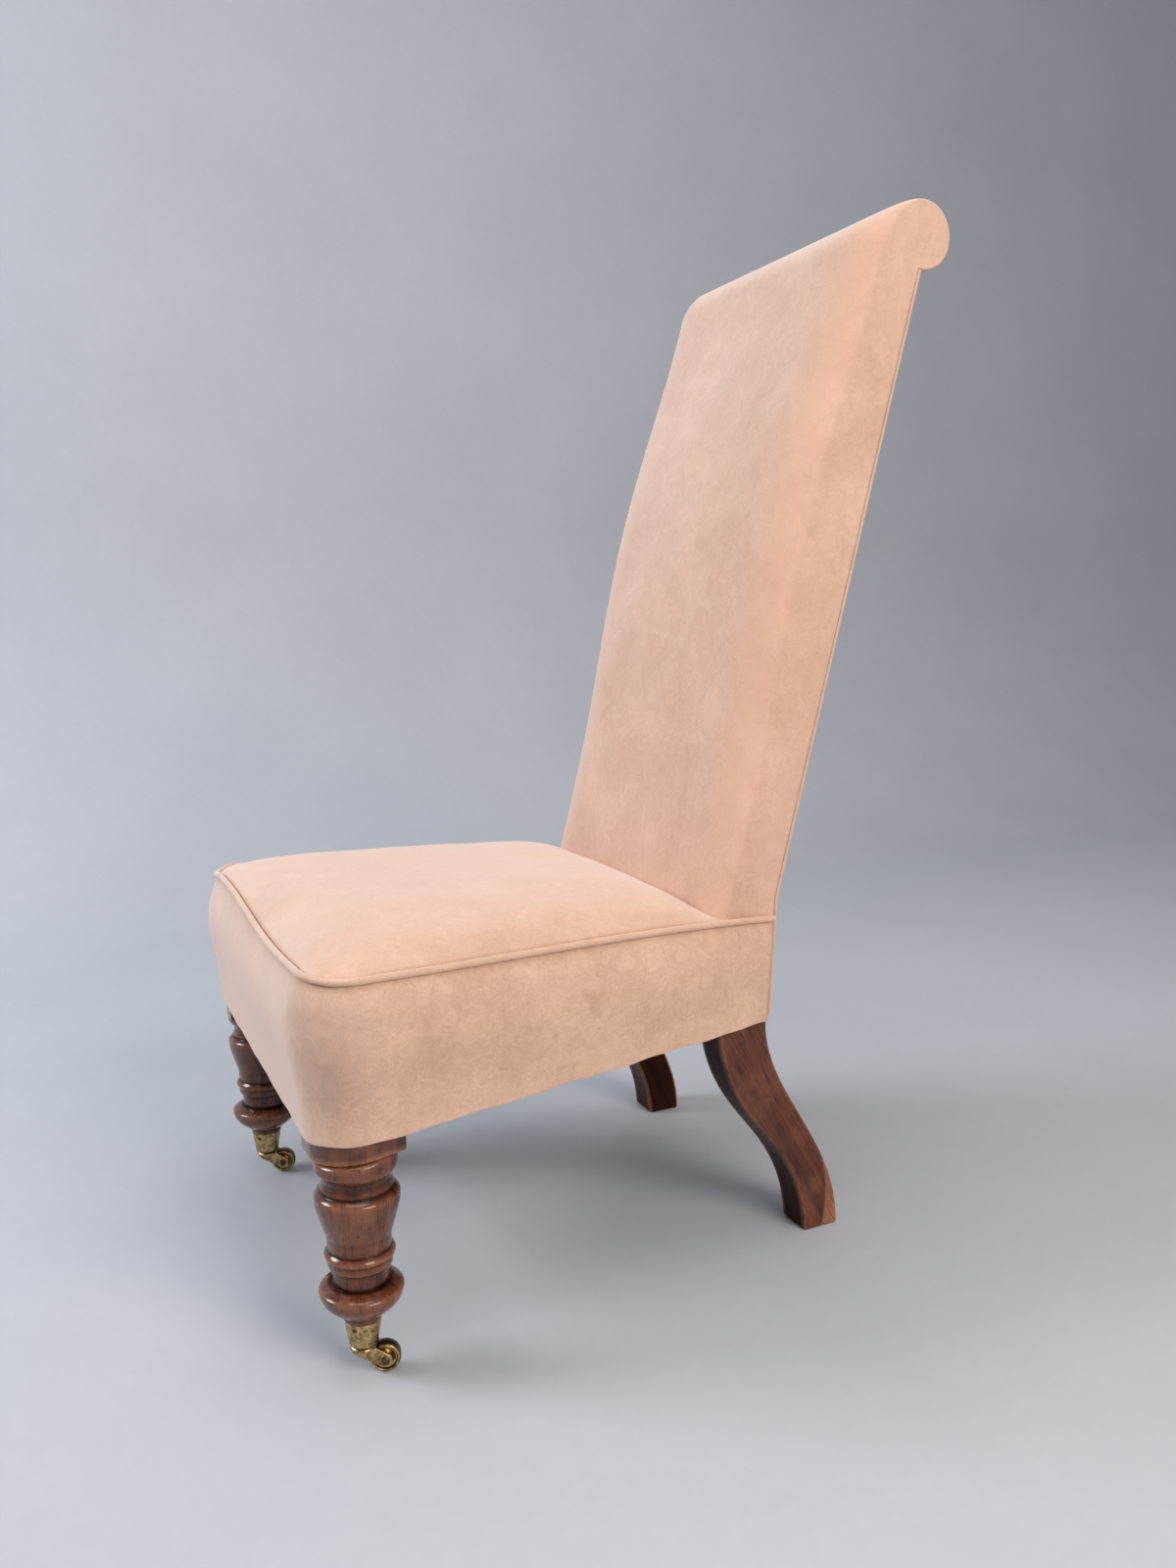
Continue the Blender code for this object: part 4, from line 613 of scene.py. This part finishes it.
def cloth_shell(first, last, half_first, half_last, steps):
    """A strip of the cloth between two depths: a thick grid that sags as a product of two arches."""
    y = np.linspace(first, last, steps)[:, None]
    half = half_first + (half_last - half_first) * (y - first) / (last - first)
    x = np.linspace(-1, 1, CLOTH_COLUMNS)[None] * half
    arch = np.sin(pi * (y - cloth_low[1]) / (cloth_high[1] - cloth_low[1]))
    arch = arch * np.cos(0.5 * pi * x / wide_front)
    z = cloth_low[2] + cloth_slope * (y - cloth_low[1]) - CLOTH_SAG * np.clip(arch, 0, 1)
    lower = np.stack([x, np.repeat(y, CLOTH_COLUMNS, 1), z], -1)
    upper = lower + np.array([0, 0, CLOTH])
    return skin(np.concatenate([lower, upper[:, ::-1]], 1))


cloth = piece("bottoming", [cloth_shell(cloth_low[1], step_front, front_half, front_half, 12),
                            cloth_shell(step_front, step_rear, wide_front, wide_rear, 50),
                            cloth_shell(step_rear, cloth_high[1], rear_half, rear_half, 6)],
              black_cotton, "chair", ["bottoming_cloth"])


# Seat top: peach velvet drawn tight over sprung stuffing, crowned, and pulled down to the piped edge.
# A closed pad over the seat's outline, higher in the middle, with the slight unevenness of hand stuffing.
EDGE_HEIGHT = 0.347
EDGE_FALL = 0.010
SEAT_CROWN = 0.030
CROWN_RUN = 0.12
FALL_START = 0.30
PIPING_RADIUS = 0.003
SEAT_INSET = 0.0031
BACK_LOW_N = 0.061
BACK_HIGH_N = 0.057
SCROLL_T = 0.6459
BACK_FOOT = 0.3406
FRONT_LIFT = 0.0035
FRONT_WAVE = 0.0055
WAVE_CREST = -0.13
HALF_WAVE = 0.22
WAVE_FADE = 0.05
CORNER_DIP = 0.003
LEFT_DIP = (0.228, 0.013, 0.028)
RIGHT_DIP = (-0.207, 0.003, 0.022)
RIGHT_LIFT = 0.003
RIGHT_LIFT_X = -0.230
RIGHT_LIFT_DEPTH = 0.020
PAD_LIFT = 0.0015
UNEVEN = 0.0008
SEAT_COLUMNS = 121


def velvet(name, shade, pale, painted_sheen, sheen):
    """Short-napped velvet: clouds where the nap lies another way, mottled where the attribute crush is high,
    pinker with painted warm light, greyer with painted shade, dark with painted shade in the seams,
    and paler with a painted sheen at a grazing look."""
    material, tree, shader = blank(name)
    place = add(tree, "ShaderNodeTexCoord").outputs["Object"]
    clouds = noise(tree, place, 13.0, 3.0, 0.6, 0.4)
    blotches = noise(tree, place, 75.0, 4.0, 0.65, 1.2)
    streaks = noise(tree, place, (460, 170, 320), 4.0, 0.75, 0.8)
    mottle = noise(tree, place, 620.0, 3.0, 0.75, 0.4)
    nap = noise(tree, place, 1500.0, 2.0, 0.6)
    tone = blended(tree, (clouds, 0.30), (blotches, 0.28), (streaks, 0.16), (mottle, 0.16), (nap, 0.10))
    colour = mix(tree, between(tree, tone, 0.38, 0.62), shade, pale)
    crush = mark(tree, "crush")
    speckle = blended(tree, (clouds, 0.20), (blotches, 0.25), (streaks, 0.30), (mottle, 0.25))
    flattened = maths(tree, "MULTIPLY", between(tree, speckle, 0.42, 0.54, 0.30, 0.0), crush)
    raised = maths(tree, "MULTIPLY", between(tree, speckle, 0.50, 0.62, 0.0, 0.45), crush)
    colour = mix(tree, flattened, colour, darker(shade, 0.78))
    colour = mix(tree, raised, colour, darker(pale, 1.14))
    # Painted shade: greyer mauve at the border's corners, under the piping and on the inside back.
    colour = mix(tree, mark(tree, "dim"), colour, (0.41, 0.275, 0.225, 1))
    # Painted warm light on the back's rounded edges.
    colour = mix(tree, mark(tree, "warm"), colour, (0.66, 0.39, 0.272, 1))
    # Painted sheen: paler towards a grazing colour as the surface turns away from the view.
    facing = add(tree, "ShaderNodeLayerWeight", {"Blend": 0.5}).outputs["Facing"]
    colour = mix(tree, between(tree, facing, 0.45, 0.90, 0.0, 0.60), colour, painted_sheen)
    # Painted shade in the seams and creases.
    colour = mix(tree, mark(tree, "recess"), colour, (0.30, 0.14, 0.075, 1))
    height = blended(tree, (blotches, 0.35), (streaks, 0.2), (mottle, 0.2), (nap, 0.25))
    wire(tree, shader, {"Base Color": colour, "Roughness": 0.92, "Specular IOR Level": 0.12,
                        "Sheen Weight": sheen, "Sheen Roughness": 0.4, "Sheen Tint": (1.0, 0.93, 0.89, 1),
                        "Normal": bumped(tree, height, 0.45, 0.0008)})
    return material


def half_width(depth, inset):
    """Half the seat's width at depths behind the front, with the outline moved in by the inset."""
    depth = np.asarray(depth, float)
    radius = SEAT_CORNER - inset
    rounded = CORNER_X + np.sqrt(np.maximum(radius**2 - (SEAT_CORNER - depth)**2, 0))
    straight = SEAT_HALF_WIDTH - TAPER * depth - SLANT * inset
    return np.where(depth < SEAT_CORNER + radius * TAPER / SLANT, rounded, straight)


def edge_height(depth, x=0.0):
    """Height of the piped edge: one wave along the front that dies away behind, a bell-shaped dip at each
    corner, a fuller place behind the right corner, and a fall towards the back."""
    depth, x = np.asarray(depth, float), np.asarray(x, float)

    def bell(place_x, place_depth, reach):
        return np.exp(-((x - place_x)**2 + (depth - place_depth)**2) / reach**2)

    wave = FRONT_LIFT + FRONT_WAVE * np.cos(pi * (x - WAVE_CREST) / HALF_WAVE)
    dip = CORNER_DIP * (bell(*LEFT_DIP) + bell(*RIGHT_DIP))
    full = RIGHT_LIFT * np.exp(-((x - RIGHT_LIFT_X) / 0.03)**2 - ((depth - RIGHT_LIFT_DEPTH) / 0.02)**2)
    fall = EDGE_FALL * (depth / SEAT_DEPTH)**4
    return EDGE_HEIGHT - fall + wave * np.exp(-depth / WAVE_FADE) - dip + full


back_low = raked((BACK_FOOT - BEND_HEIGHT - BACK_LOW_N * sin(BACK_RAKE)) / cos(BACK_RAKE), BACK_LOW_N)
back_high = raked(SCROLL_T, BACK_HIGH_N)


def back_front_depth(z):
    """Depth of the front of the back just above the seat."""
    rise = (back_high[0] - back_low[0]) * (z - back_low[1]) / (back_high[1] - back_low[1])
    return back_low[0] - FRONT_Y + rise


def ripple(a, b, size):
    """Gentle unevenness over two lengths in metres: a few waves that never line up."""
    return size * (np.sin(41 * a + 1.3) * np.sin(37 * b + 0.4) + 0.6 * np.sin(83 * a - 29 * b + 2.1)
                   + 0.4 * np.sin(23 * a + 97 * b + 0.7)) / 2


peach = velvet("peach_velvet", (0.55, 0.345, 0.245, 1), (0.71, 0.475, 0.355, 1),
               (0.70, 0.545, 0.475, 1), 0.30)
rear_limit = float(back_front_depth(EDGE_HEIGHT))
u = np.sin(np.linspace(-pi / 2, pi / 2, SEAT_COLUMNS))
u = 0.6 * u + 0.4 * np.linspace(-1, 1, SEAT_COLUMNS)
front_rows = SEAT_CORNER - (SEAT_CORNER - SEAT_INSET) * np.cos(np.linspace(0, pi / 2, 34))
rows = np.hstack([front_rows, np.linspace(SEAT_CORNER, rear_limit + 0.004, 110)[1:]])
depth = rows[:, None] * np.ones_like(u)
front_rise = (1 - (1 - np.clip((depth - SEAT_INSET) / CROWN_RUN, 0, 1))**2.5)**0.8
rear_fall = 1 - np.clip((depth - FALL_START) / (rear_limit - FALL_START), 0, 1)**3
crown = SEAT_CROWN * front_rise * rear_fall * np.maximum(1 - u**4, 0)**0.8
seat_half = half_width(depth, SEAT_INSET)
seat_x = seat_half * u
stuffing = ripple(seat_x, depth, UNEVEN) * np.clip(crown / 0.01, 0, 1)
seat_z = edge_height(depth, seat_x) + PAD_LIFT + crown + stuffing
top = np.stack([seat_x, FRONT_Y + depth, seat_z], -1)
# Painted shade in the crease beside the piping and where the seat meets the back; hidden faces get some too.
from_rim = np.minimum(seat_half * (1 - np.abs(u)), depth - SEAT_INSET)
from_back = (rear_limit - 0.001 - depth) / 0.006
seam_shade = np.maximum(0.40 * np.clip(1 - from_rim / 0.0025, 0, 1), 0.45 * np.clip(1 - from_back, 0, 1))
under = top.copy()
under[..., 2] = edge_height(depth) - 0.03
rim, rim_under = (np.vstack([grid[0], grid[1:, -1], grid[-1, -2::-1], grid[-2:0:-1, 0]])
                  for grid in (top, under))
shells = [skin(top, False, False), skin(under, False, False),
          skin(np.stack([rim, rim_under], 0), True, False)]
wing_depth = np.linspace(rear_limit - 0.006, SEAT_DEPTH + 0.0005, 24)
wing_out = half_width(wing_depth, SEAT_INSET)
wing_top = edge_height(wing_depth) + 0.0012
wing_x = np.stack([wing_out, wing_out, wing_out - 0.020, wing_out - 0.020], 1)
wing_z = np.stack([wing_top - 0.006, wing_top, wing_top + 0.001, wing_top - 0.006], 1)
for sign in (1, -1):
    wing = np.stack([sign * wing_x, np.repeat(FRONT_Y + wing_depth[:, None], 4, 1), wing_z], -1)
    shells.append(skin(wing))
seam_shade = np.hstack([seam_shade.ravel(), np.full(sum(len(points) for points, faces in shells[1:]), 0.5)])
seat_pad = piece("seat_top", shells, peach, "chair", ["seat_top_cover", "seat_stuffing"], smooth=60,
                 recess=seam_shade)


# Border: a boxed velvet band round the front and sides, swelling between its sewn edge and its tacked hem.
# A section swept round the seat's outline, with faint upright puckers and the hem turned under.
LOWER_EDGE = 0.211
LOWER_RISE = 0.0234
BORDER_BULGE = 0.0112
REAR_BULGE = 0.1
COVER = 0.003
PANEL = 0.0038
STITCH_GAP = 0.0003
BORDER_END = SEAT_DEPTH - PANEL - STITCH_GAP
BORDER_ROWS = 48
HEM_SHARE = 0.009
HEM_TURN = 0.0012
LEAN_START = 0.40
LEAN_RUN = 0.055
CORNER_SHADE = 0.25
PIPING_SHADE = 0.40


def outline(rear, spacing):
    """x, depth and outward direction round the seat from the rear left to the rear right, evenly spaced."""
    turn = np.linspace(atan2(TAPER, 1), -pi / 2, 60)
    side = np.array([[half_width(rear, 0), rear]])
    bend = np.stack([CORNER_X + SEAT_CORNER * np.cos(turn), SEAT_CORNER * (1 + np.sin(turn))], -1)
    half = resampled(np.vstack([side, bend, [(0, 0)]]), spacing)
    full = np.vstack([half, (half * [-1, 1])[-2::-1]])
    step = np.gradient(full, axis=0)
    out = np.stack([-step[:, 1], step[:, 0]], -1)
    return full, out / np.linalg.norm(out, axis=1)[:, None]


def rear_lean(height, depth):
    """How far the seat's sides lean back at a height, easing in over a short run before the rear."""
    ease_in = np.clip((depth - LEAN_START) / LEAN_RUN, 0, 1)
    return BEND_LEAN * (height - REAR_HEM) / (BEND_HEIGHT - REAR_HEM) * ease_in


path, outward = outline(BORDER_END, 0.002)
outward *= np.sign(-outward[len(path) // 2, 1])
along = np.hstack([0, np.cumsum(np.linalg.norm(np.diff(path, axis=0), axis=1))])
low = LOWER_EDGE + LOWER_RISE * path[:, 1] / SEAT_DEPTH
high = edge_height(path[:, 1], path[:, 0]) - PIPING_RADIUS - STITCH_GAP
share = np.linspace(0, 1, BORDER_ROWS)
face_out = BORDER_BULGE * np.sin(pi * share**1.75)
hem = np.linspace(0, pi / 2, 5)[:-1]
section_out = np.hstack([[-COVER, -COVER], -HEM_TURN * (1 - np.sin(hem)), face_out, [-COVER]])
section_rise = np.hstack([[1, 0], HEM_SHARE * (1 - np.cos(hem)), HEM_SHARE + (1 - HEM_SHARE) * share, [1]])
pucker = ripple(along, along * 0.31, 0.0005)[:, None] * np.sin(pi * np.clip(section_rise, 0, 1))[None]
ease = REAR_BULGE + (1 - REAR_BULGE) * np.clip((BORDER_END - path[:, 1:]) / 0.08, 0, 1)
offset = np.where(section_out[None] > 0, section_out[None] * ease, section_out[None])
offset = offset + np.where(section_out > -0.0025, 1, 0)[None] * pucker * ease
hem_wave = 0.0006 * np.sin(along * 61 + 0.5) + 0.0004 * np.sin(along * 143)
rise = low[:, None] + (high - low)[:, None] * section_rise[None]
rise = rise + hem_wave[:, None] * np.clip(1 - 6 * section_rise, 0, 1)[None]
lean = rear_lean(rise, path[:, 1:])
ends = np.clip((BORDER_END - path[:, 1:]) / 0.01, 0, 1)
band = np.stack([path[:, :1] + offset * outward[:, :1],
                 FRONT_Y + path[:, 1:] + lean + offset * outward[:, 1:] * ends, rise], -1)
# Painted shade along the rear end, where the border meets the back, and just under the piping.
rear_seam_shade = np.clip(1 - (BORDER_END - path[:, 1:]) / 0.003, 0, 1)
top_seam_shade = np.clip((section_rise - 0.975) / 0.02, 0, 1)[None]
seam_shade = np.maximum(0.45 * rear_seam_shade, 0.45 * top_seam_shade)
upright = np.sin(pi * np.clip((section_rise - 0.08) / 0.92, 0, 1))[None]
# Painted shade: a greyer patch at each front corner and a band just under the piping near the corners.
corner_dim = np.exp(-((path[:, 1:] - 0.019) / 0.024)**2) * (np.abs(path[:, :1]) > 0.15) * upright
piping_shadow = np.exp(-((section_rise - 0.80) / 0.09)**2)[None] * np.exp(-path[:, 1:] / 0.13)
piping_shadow = piping_shadow * (np.abs(path[:, :1]) > 0.19)
crush = np.repeat(0.20 + 0.35 * np.abs(outward[:, :1])**2, len(section_out), 1)
border = piece("border", [skin(band)], peach, "chair", ["seat_border"], smooth=60, recess=seam_shade,
               dim=np.maximum(CORNER_SHADE * corner_dim, PIPING_SHADE * piping_shadow), crush=crush)


# Piping: a cotton cord wrapped in a bias strip of the velvet, sewn in between the top and the border.
# A round tube along the seat's edge, a little uneven where the strip is drawn over the cord.
PIPING_STAND = 0.0005
tube_turn = np.linspace(0, 2 * pi, 14, endpoint=False)
wobble = 1 + 0.04 * np.sin(along * 310)[:, None] * np.cos(2 * tube_turn)[None]
tube_out = PIPING_RADIUS * np.cos(tube_turn)[None] * wobble
tube_up = PIPING_RADIUS * np.sin(tube_turn)[None] * wobble
cord_z = edge_height(path[:, 1:], path[:, :1])
cord_y = FRONT_Y + path[:, 1:] + rear_lean(cord_z, path[:, 1:])
piping_grid = np.stack([path[:, :1] + outward[:, :1] * (PIPING_STAND + tube_out),
                        cord_y + outward[:, 1:] * (PIPING_STAND + tube_out) * ends, cord_z + tube_up], -1)
piping = piece("piping", [skin(piping_grid)], peach, "chair", ["seat_piping"], smooth=70)


# Inside back: one velvet cover drawn over the front, the sides and the roll of the stuffed back.
# The side outline, as a front chain and a rear chain that meet behind the roll, is carried across, crowned
# in front and rounded at its edges; ruled faces between the chains close the sides.
SCROLL_RADIUS = 0.0320
SCROLL_SETBACK = 0.006
SIDE_N = PANEL + STITCH_GAP
PILLOW_WIDTH = 0.065
PILLOW_DEPTH = 0.024
PILLOW_RISE = 0.0095
ROLL_SAG = 0.002
SCROLL_ROUNDING = 0.0022
REAR_ROUNDING = 0.0008
LENGTH_CROWN = 0.013
WIDTH_CROWN = 0.006
SIDE_SWELL = 0.0015
TUCK = 0.008
FRONT_ROWS = 116
BEND_ROWS = 24
TOP_ROWS = 28
UNDER_ROWS = 36
FOOT_ROWS = 8
MIDDLE_COLUMNS = 57
# Strengths of the painted warm light on the edges, the painted shade on the front and the painted seam shade.
EDGE_LIGHT = 0.50
BACK_SHADE = 0.13
SEAM_SHADE = 0.15
scroll = raked(SCROLL_T, SCROLL_SETBACK)
half = BACK_WIDTH / 2


def arc(centre, radius, turn):
    """Points and outward directions on an arc in the side view."""
    out = np.stack([np.cos(turn), np.sin(turn)], -1)
    return centre + radius * out, out


front_line = back_high - back_low
front_out = np.array([-front_line[1], front_line[0]]) / np.linalg.norm(front_line)
bend_radius = ((back_low - scroll - [0, SCROLL_RADIUS]) @ front_out) / (1 - front_out[1])
bend_centre = scroll + [0, SCROLL_RADIUS - bend_radius]
touch = bend_centre + bend_radius * front_out
tucked = back_low + (back_low - touch) / np.linalg.norm(back_low - touch) * TUCK
front_share = np.linspace(0, 1, FRONT_ROWS, endpoint=False)
front_points = tucked + (touch - tucked) * front_share[:, None]
bend_turn = np.linspace(atan2(front_out[1], front_out[0]), pi / 2, BEND_ROWS, endpoint=False)
bend_points, bend_outs = arc(bend_centre, bend_radius, bend_turn)
top_points, top_outs = arc(scroll, SCROLL_RADIUS, np.linspace(pi / 2, 0, TOP_ROWS))
front_chain = np.vstack([front_points, bend_points, top_points])
front_outs = np.vstack([np.repeat(front_out[None], FRONT_ROWS, 0), bend_outs, top_outs])
fade = 0.5 + 0.5 * np.cos(np.linspace(0, pi, BEND_ROWS))
foot_ease = 0.6 + 0.4 * np.clip(front_share * 4, 0, 1)
fullness = np.hstack([foot_ease, fade, np.zeros(TOP_ROWS)])
swelling = np.hstack([np.sin(pi * front_share**1.3)**2, np.zeros(BEND_ROWS + TOP_ROWS)])
inner = SIDE_N - SCROLL_SETBACK
down = sqrt(SCROLL_RADIUS**2 - inner**2)
roll_end = atan2(-down * cos(BACK_RAKE) + inner * sin(BACK_RAKE),
                 -down * sin(BACK_RAKE) - inner * cos(BACK_RAKE))
under_points, under_outs = arc(scroll, SCROLL_RADIUS, np.linspace(roll_end, 0, UNDER_ROWS))
foot_lean = BEND_LEAN * (BACK_FOOT - TUCK - REAR_HEM) / (BEND_HEIGHT - REAR_HEM)
rear_foot = np.array([FRONT_Y + SEAT_DEPTH - SIDE_N + foot_lean, BACK_FOOT - TUCK])
rear_rows = len(front_chain) - UNDER_ROWS
rear_bend = raked(0, SIDE_N)
rear_chain = np.vstack([np.linspace(rear_foot, rear_bend, FOOT_ROWS)[:-1],
                        np.linspace(rear_bend, under_points[0], rear_rows - FOOT_ROWS + 2)[:-1],
                        under_points])
rear_outs = np.vstack([np.repeat([[cos(BACK_RAKE), -sin(BACK_RAKE)]], rear_rows, 0), under_outs])
rear_radius = np.hstack([np.full(rear_rows, REAR_ROUNDING),
                         np.clip(np.linspace(REAR_ROUNDING, 3 * SCROLL_ROUNDING, UNDER_ROWS),
                                 0, SCROLL_ROUNDING)])
loop = np.vstack([front_chain, rear_chain[-2::-1]])
loop_out = np.vstack([front_outs, rear_outs[-2::-1]])
full = np.hstack([fullness, np.zeros(len(rear_chain) - 1)])[:, None]
raised = PILLOW_RISE * np.hstack([foot_ease, fade**2, np.zeros(TOP_ROWS + len(rear_chain) - 1)])[:, None]
front_plain = np.full(len(front_chain), SCROLL_ROUNDING)
plain = np.hstack([front_plain, rear_radius[-2::-1]])[:, None]
edge_wide = plain + (PILLOW_WIDTH - SCROLL_ROUNDING) * full
edge_deep = plain + (PILLOW_DEPTH - SCROLL_ROUNDING) * full
puff = np.hstack([swelling, np.zeros(len(rear_chain) - 1)])[:, None]
turn = np.linspace(0, pi / 2, 23)[1:]
x_middle = np.linspace(-1, 1, MIDDLE_COLUMNS)[None] * (half - edge_wide)
x_round = half - edge_wide * (1 - np.sin(turn))[None]
back_x = np.hstack([-x_round[:, ::-1], x_middle, x_round])
drop = np.hstack([1 - np.cos(turn[::-1]), np.zeros(MIDDLE_COLUMNS), 1 - np.cos(turn)])[None] * edge_deep
offset = raised + puff * (LENGTH_CROWN + WIDTH_CROWN * (1 - (back_x / half)**2)) - drop
stuffing = ripple(back_x, loop[:, 1:], UNEVEN) * np.clip(puff * 3, 0, 1)
offset = offset + stuffing * np.clip(1 - drop / 0.01, 0, 1)
sag = ROLL_SAG * np.clip(1 - (scroll[1] - loop[:, 1:]) / 0.25, 0, 1) * (half - back_x) / BACK_WIDTH
shell = np.stack([back_x, loop[:, :1] + offset * loop_out[:, :1],
                  loop[:, 1:] + offset * loop_out[:, 1:] - sag], -1)
count = len(front_chain)
reach = np.linspace(0, 1, 42)[None, :, None]
level = np.linspace(0, 1, count)[:, None]
bulge = SIDE_SWELL * np.sin(pi * reach[..., 0])**2 * np.sin(pi * np.clip(level * 1.15, 0, 1))
band = np.sin(2 * turn)**0.8
# Painted warm light in a band over the rounded edges of the front.
warm = EDGE_LIGHT * full * np.hstack([band[::-1], np.zeros(MIDDLE_COLUMNS), band])[None]
straight = np.arange(count)[:, None] < rear_rows
# Painted shade along the sides' rear edges, at the seam.
side_seam_shade = SEAM_SHADE * straight * np.clip((reach[..., 0] - 0.965) / 0.03, 0, 1)
seam_shade = np.hstack([np.zeros(warm.size), side_seam_shade.ravel(), side_seam_shade.ravel()])
crush = np.hstack([np.full(warm.size, 0.25), np.full(2 * side_seam_shade.size, 0.04)])
lower = np.clip((loop[:, 1:] - BACK_FOOT) / (scroll[1] - BACK_FOOT), 0, 1)
# Painted shade: a greyer upright band beside the middle, strongest halfway up.
dim = BACK_SHADE * full * np.exp(-((back_x - 0.075) / 0.05)**2) * np.sin(pi * lower**1.6)
dim = np.hstack([dim.T.ravel(), np.zeros(2 * side_seam_shade.size)])
warm = np.hstack([warm.T.ravel(), np.zeros(2 * side_seam_shade.size)])
shells = [skin(shell.transpose(1, 0, 2), True, False)]
for column, sign in ((-1, 1), (0, -1)):
    near = shell[:count, column]
    far = np.vstack([shell[count:, column][::-1], shell[count - 1:count, column]])
    face = near[:, None] * (1 - reach) + far[:, None] * reach
    face[..., 0] += sign * bulge
    shells.append(skin(face, False, False))
inside_back = piece("inside_back", shells, peach, "chair", ["inside_back_cover", "back_stuffing"], smooth=60,
                    recess=seam_shade, warm=warm, dim=dim, crush=crush)


# Outside back: a flat velvet panel slip-stitched to the rear edges, its fold a thin strip at each side.
# A rounded strip section carried up the back from the hem to the crease under the roll.
HEM_RISE = 0.006
FOLD_STAND = 0.0006
SLACK = 0.0006
PANEL_COLUMNS = 60
panel_half = half + FOLD_STAND
panel_low = np.array([FRONT_Y + SEAT_DEPTH + BEND_LEAN * HEM_RISE / (BEND_HEIGHT - REAR_HEM),
                      REAR_HEM + HEM_RISE])
spine = np.vstack([np.linspace(panel_low, raked(0.0, 0.0), 30)[:-1],
                   raked(np.linspace(0, SCROLL_T - SCROLL_RADIUS - STITCH_GAP, 120), 0.0)])
forward = np.array([-cos(BACK_RAKE), sin(BACK_RAKE)])
turn = np.linspace(-pi / 2, pi / 2, 9)[1:-1]
fold = PANEL / 2
flat_x = np.linspace(-panel_half + fold, panel_half - fold, PANEL_COLUMNS)
panel_x = np.hstack([flat_x, panel_half - fold + fold * np.cos(turn),
                     flat_x[::-1], -panel_half + fold - fold * np.cos(turn)])
panel_n = np.hstack([np.zeros(PANEL_COLUMNS), fold + fold * np.sin(turn),
                     np.full(PANEL_COLUMNS, PANEL), fold - fold * np.sin(turn)])
outer_side = np.hstack([np.ones(PANEL_COLUMNS), np.zeros(len(panel_x) - PANEL_COLUMNS)])
loose = outer_side * (1 - (panel_x / panel_half)**2)
slack = ripple(panel_x[None], spine[:, 1:] * 1.1, SLACK) * loose[None]
stand = panel_n[None] + np.abs(slack)
panel = np.stack([np.repeat(panel_x[None], len(spine), 0), spine[:, :1] + forward[0] * stand,
                  spine[:, 1:] + forward[1] * stand], -1)
outside_back = piece("outside_back", [skin(panel)], peach, "chair", ["outside_back_cover"], smooth=60)


# Stage: a pale floor that curves up behind, soft studio light, and a camera at the photograph's angle.
FOCAL_PIXELS = 1202
FRAME_PIXELS = 1600
SENSOR = 36
CAMERA_X = 1.1023
CAMERA_AHEAD = 0.1908
CAMERA_HEIGHT = 0.6270
YAW, PITCH, ROLL = radians(63.802), radians(8.092), radians(-0.134)
FLOOR_REACH = 14.0
SWEEP_START = -1.2
SWEEP_RADIUS = 0.9
WALL_HEIGHT = 5.0
floor_material, tree, shader = blank("floor")
place = add(tree, "ShaderNodeTexCoord").outputs["Object"]
dust = blended(tree, (noise(tree, place, 2.5, 5.0, 0.6), 0.7), (noise(tree, place, 60.0, 4.0, 0.6), 0.3))
paint = mix(tree, between(tree, dust, 0.3, 0.7), (0.45, 0.47, 0.50, 1), (0.50, 0.52, 0.55, 1))
wire(tree, shader, {"Base Color": paint, "Roughness": 0.6})
sweep = np.linspace(0, pi / 2, 30)
floor_x = np.hstack([FLOOR_REACH, SWEEP_START - SWEEP_RADIUS * np.sin(sweep), SWEEP_START - SWEEP_RADIUS])
floor_z = np.hstack([0.0, SWEEP_RADIUS * (1 - np.cos(sweep)), WALL_HEIGHT])
floor_grid = np.stack([np.repeat(floor_x[:, None], 2, 1),
                       np.repeat([[-FLOOR_REACH, FLOOR_REACH]], len(floor_x), 0),
                       np.repeat(floor_z[:, None], 2, 1)], -1)
floor_points, floor_faces = skin(floor_grid, False, False)
floor_mesh = bpy.data.meshes.new("floor")
floor_mesh.from_pydata(floor_points.tolist(), [], floor_faces)
floor_mesh.shade_smooth()
floor_mesh.materials.append(floor_material)
floor = bpy.data.objects.new("floor", floor_mesh)
bpy.context.scene.collection.objects.link(floor)
world = bpy.data.worlds.new("studio")
world.use_nodes = True
wire(world.node_tree, world.node_tree.nodes["Background"], {"Color": (0.86, 0.91, 1.0, 1), "Strength": 0.32})
bpy.context.scene.world = world
for name, spot, aim, size, power, tint in (
        ("window", (-0.9, -2.6, 1.9), (0.0, 0.0, 0.45), 1.1, 67, (0.91, 0.95, 1.0)),
        ("lamp", (2.5, 0.5, 1.7), (0.0, 0.0, 0.45), 1.4, 58, (1.0, 0.91, 0.82)),
        ("ceiling", (0.4, -0.3, 3.6), (0.0, 0.0, 0.0), 2.0, 40, (0.97, 0.98, 1.0))):
    data = bpy.data.lights.new(name, "AREA")
    data.size, data.energy, data.color = size, power, tint
    lamp = bpy.data.objects.new(name, data)
    lamp.location = spot
    lamp.rotation_euler = (Vector(aim) - Vector(spot)).to_track_quat("-Z", "Y").to_euler()
    bpy.context.scene.collection.objects.link(lamp)
camera_data = bpy.data.cameras.new("camera")
camera_data.lens = FOCAL_PIXELS * SENSOR / FRAME_PIXELS
camera_data.sensor_width = SENSOR
camera = bpy.data.objects.new("camera", camera_data)
camera.matrix_world = (Matrix.Translation((CAMERA_X, FRONT_Y - CAMERA_AHEAD, CAMERA_HEIGHT))
                       @ Matrix.Rotation(YAW, 4, "Z") @ Matrix.Rotation(pi / 2 - PITCH, 4, "X")
                       @ Matrix.Rotation(ROLL, 4, "Z"))
bpy.context.scene.collection.objects.link(camera)
bpy.context.scene.camera = camera
bpy.context.scene.view_settings.view_transform = "Standard"
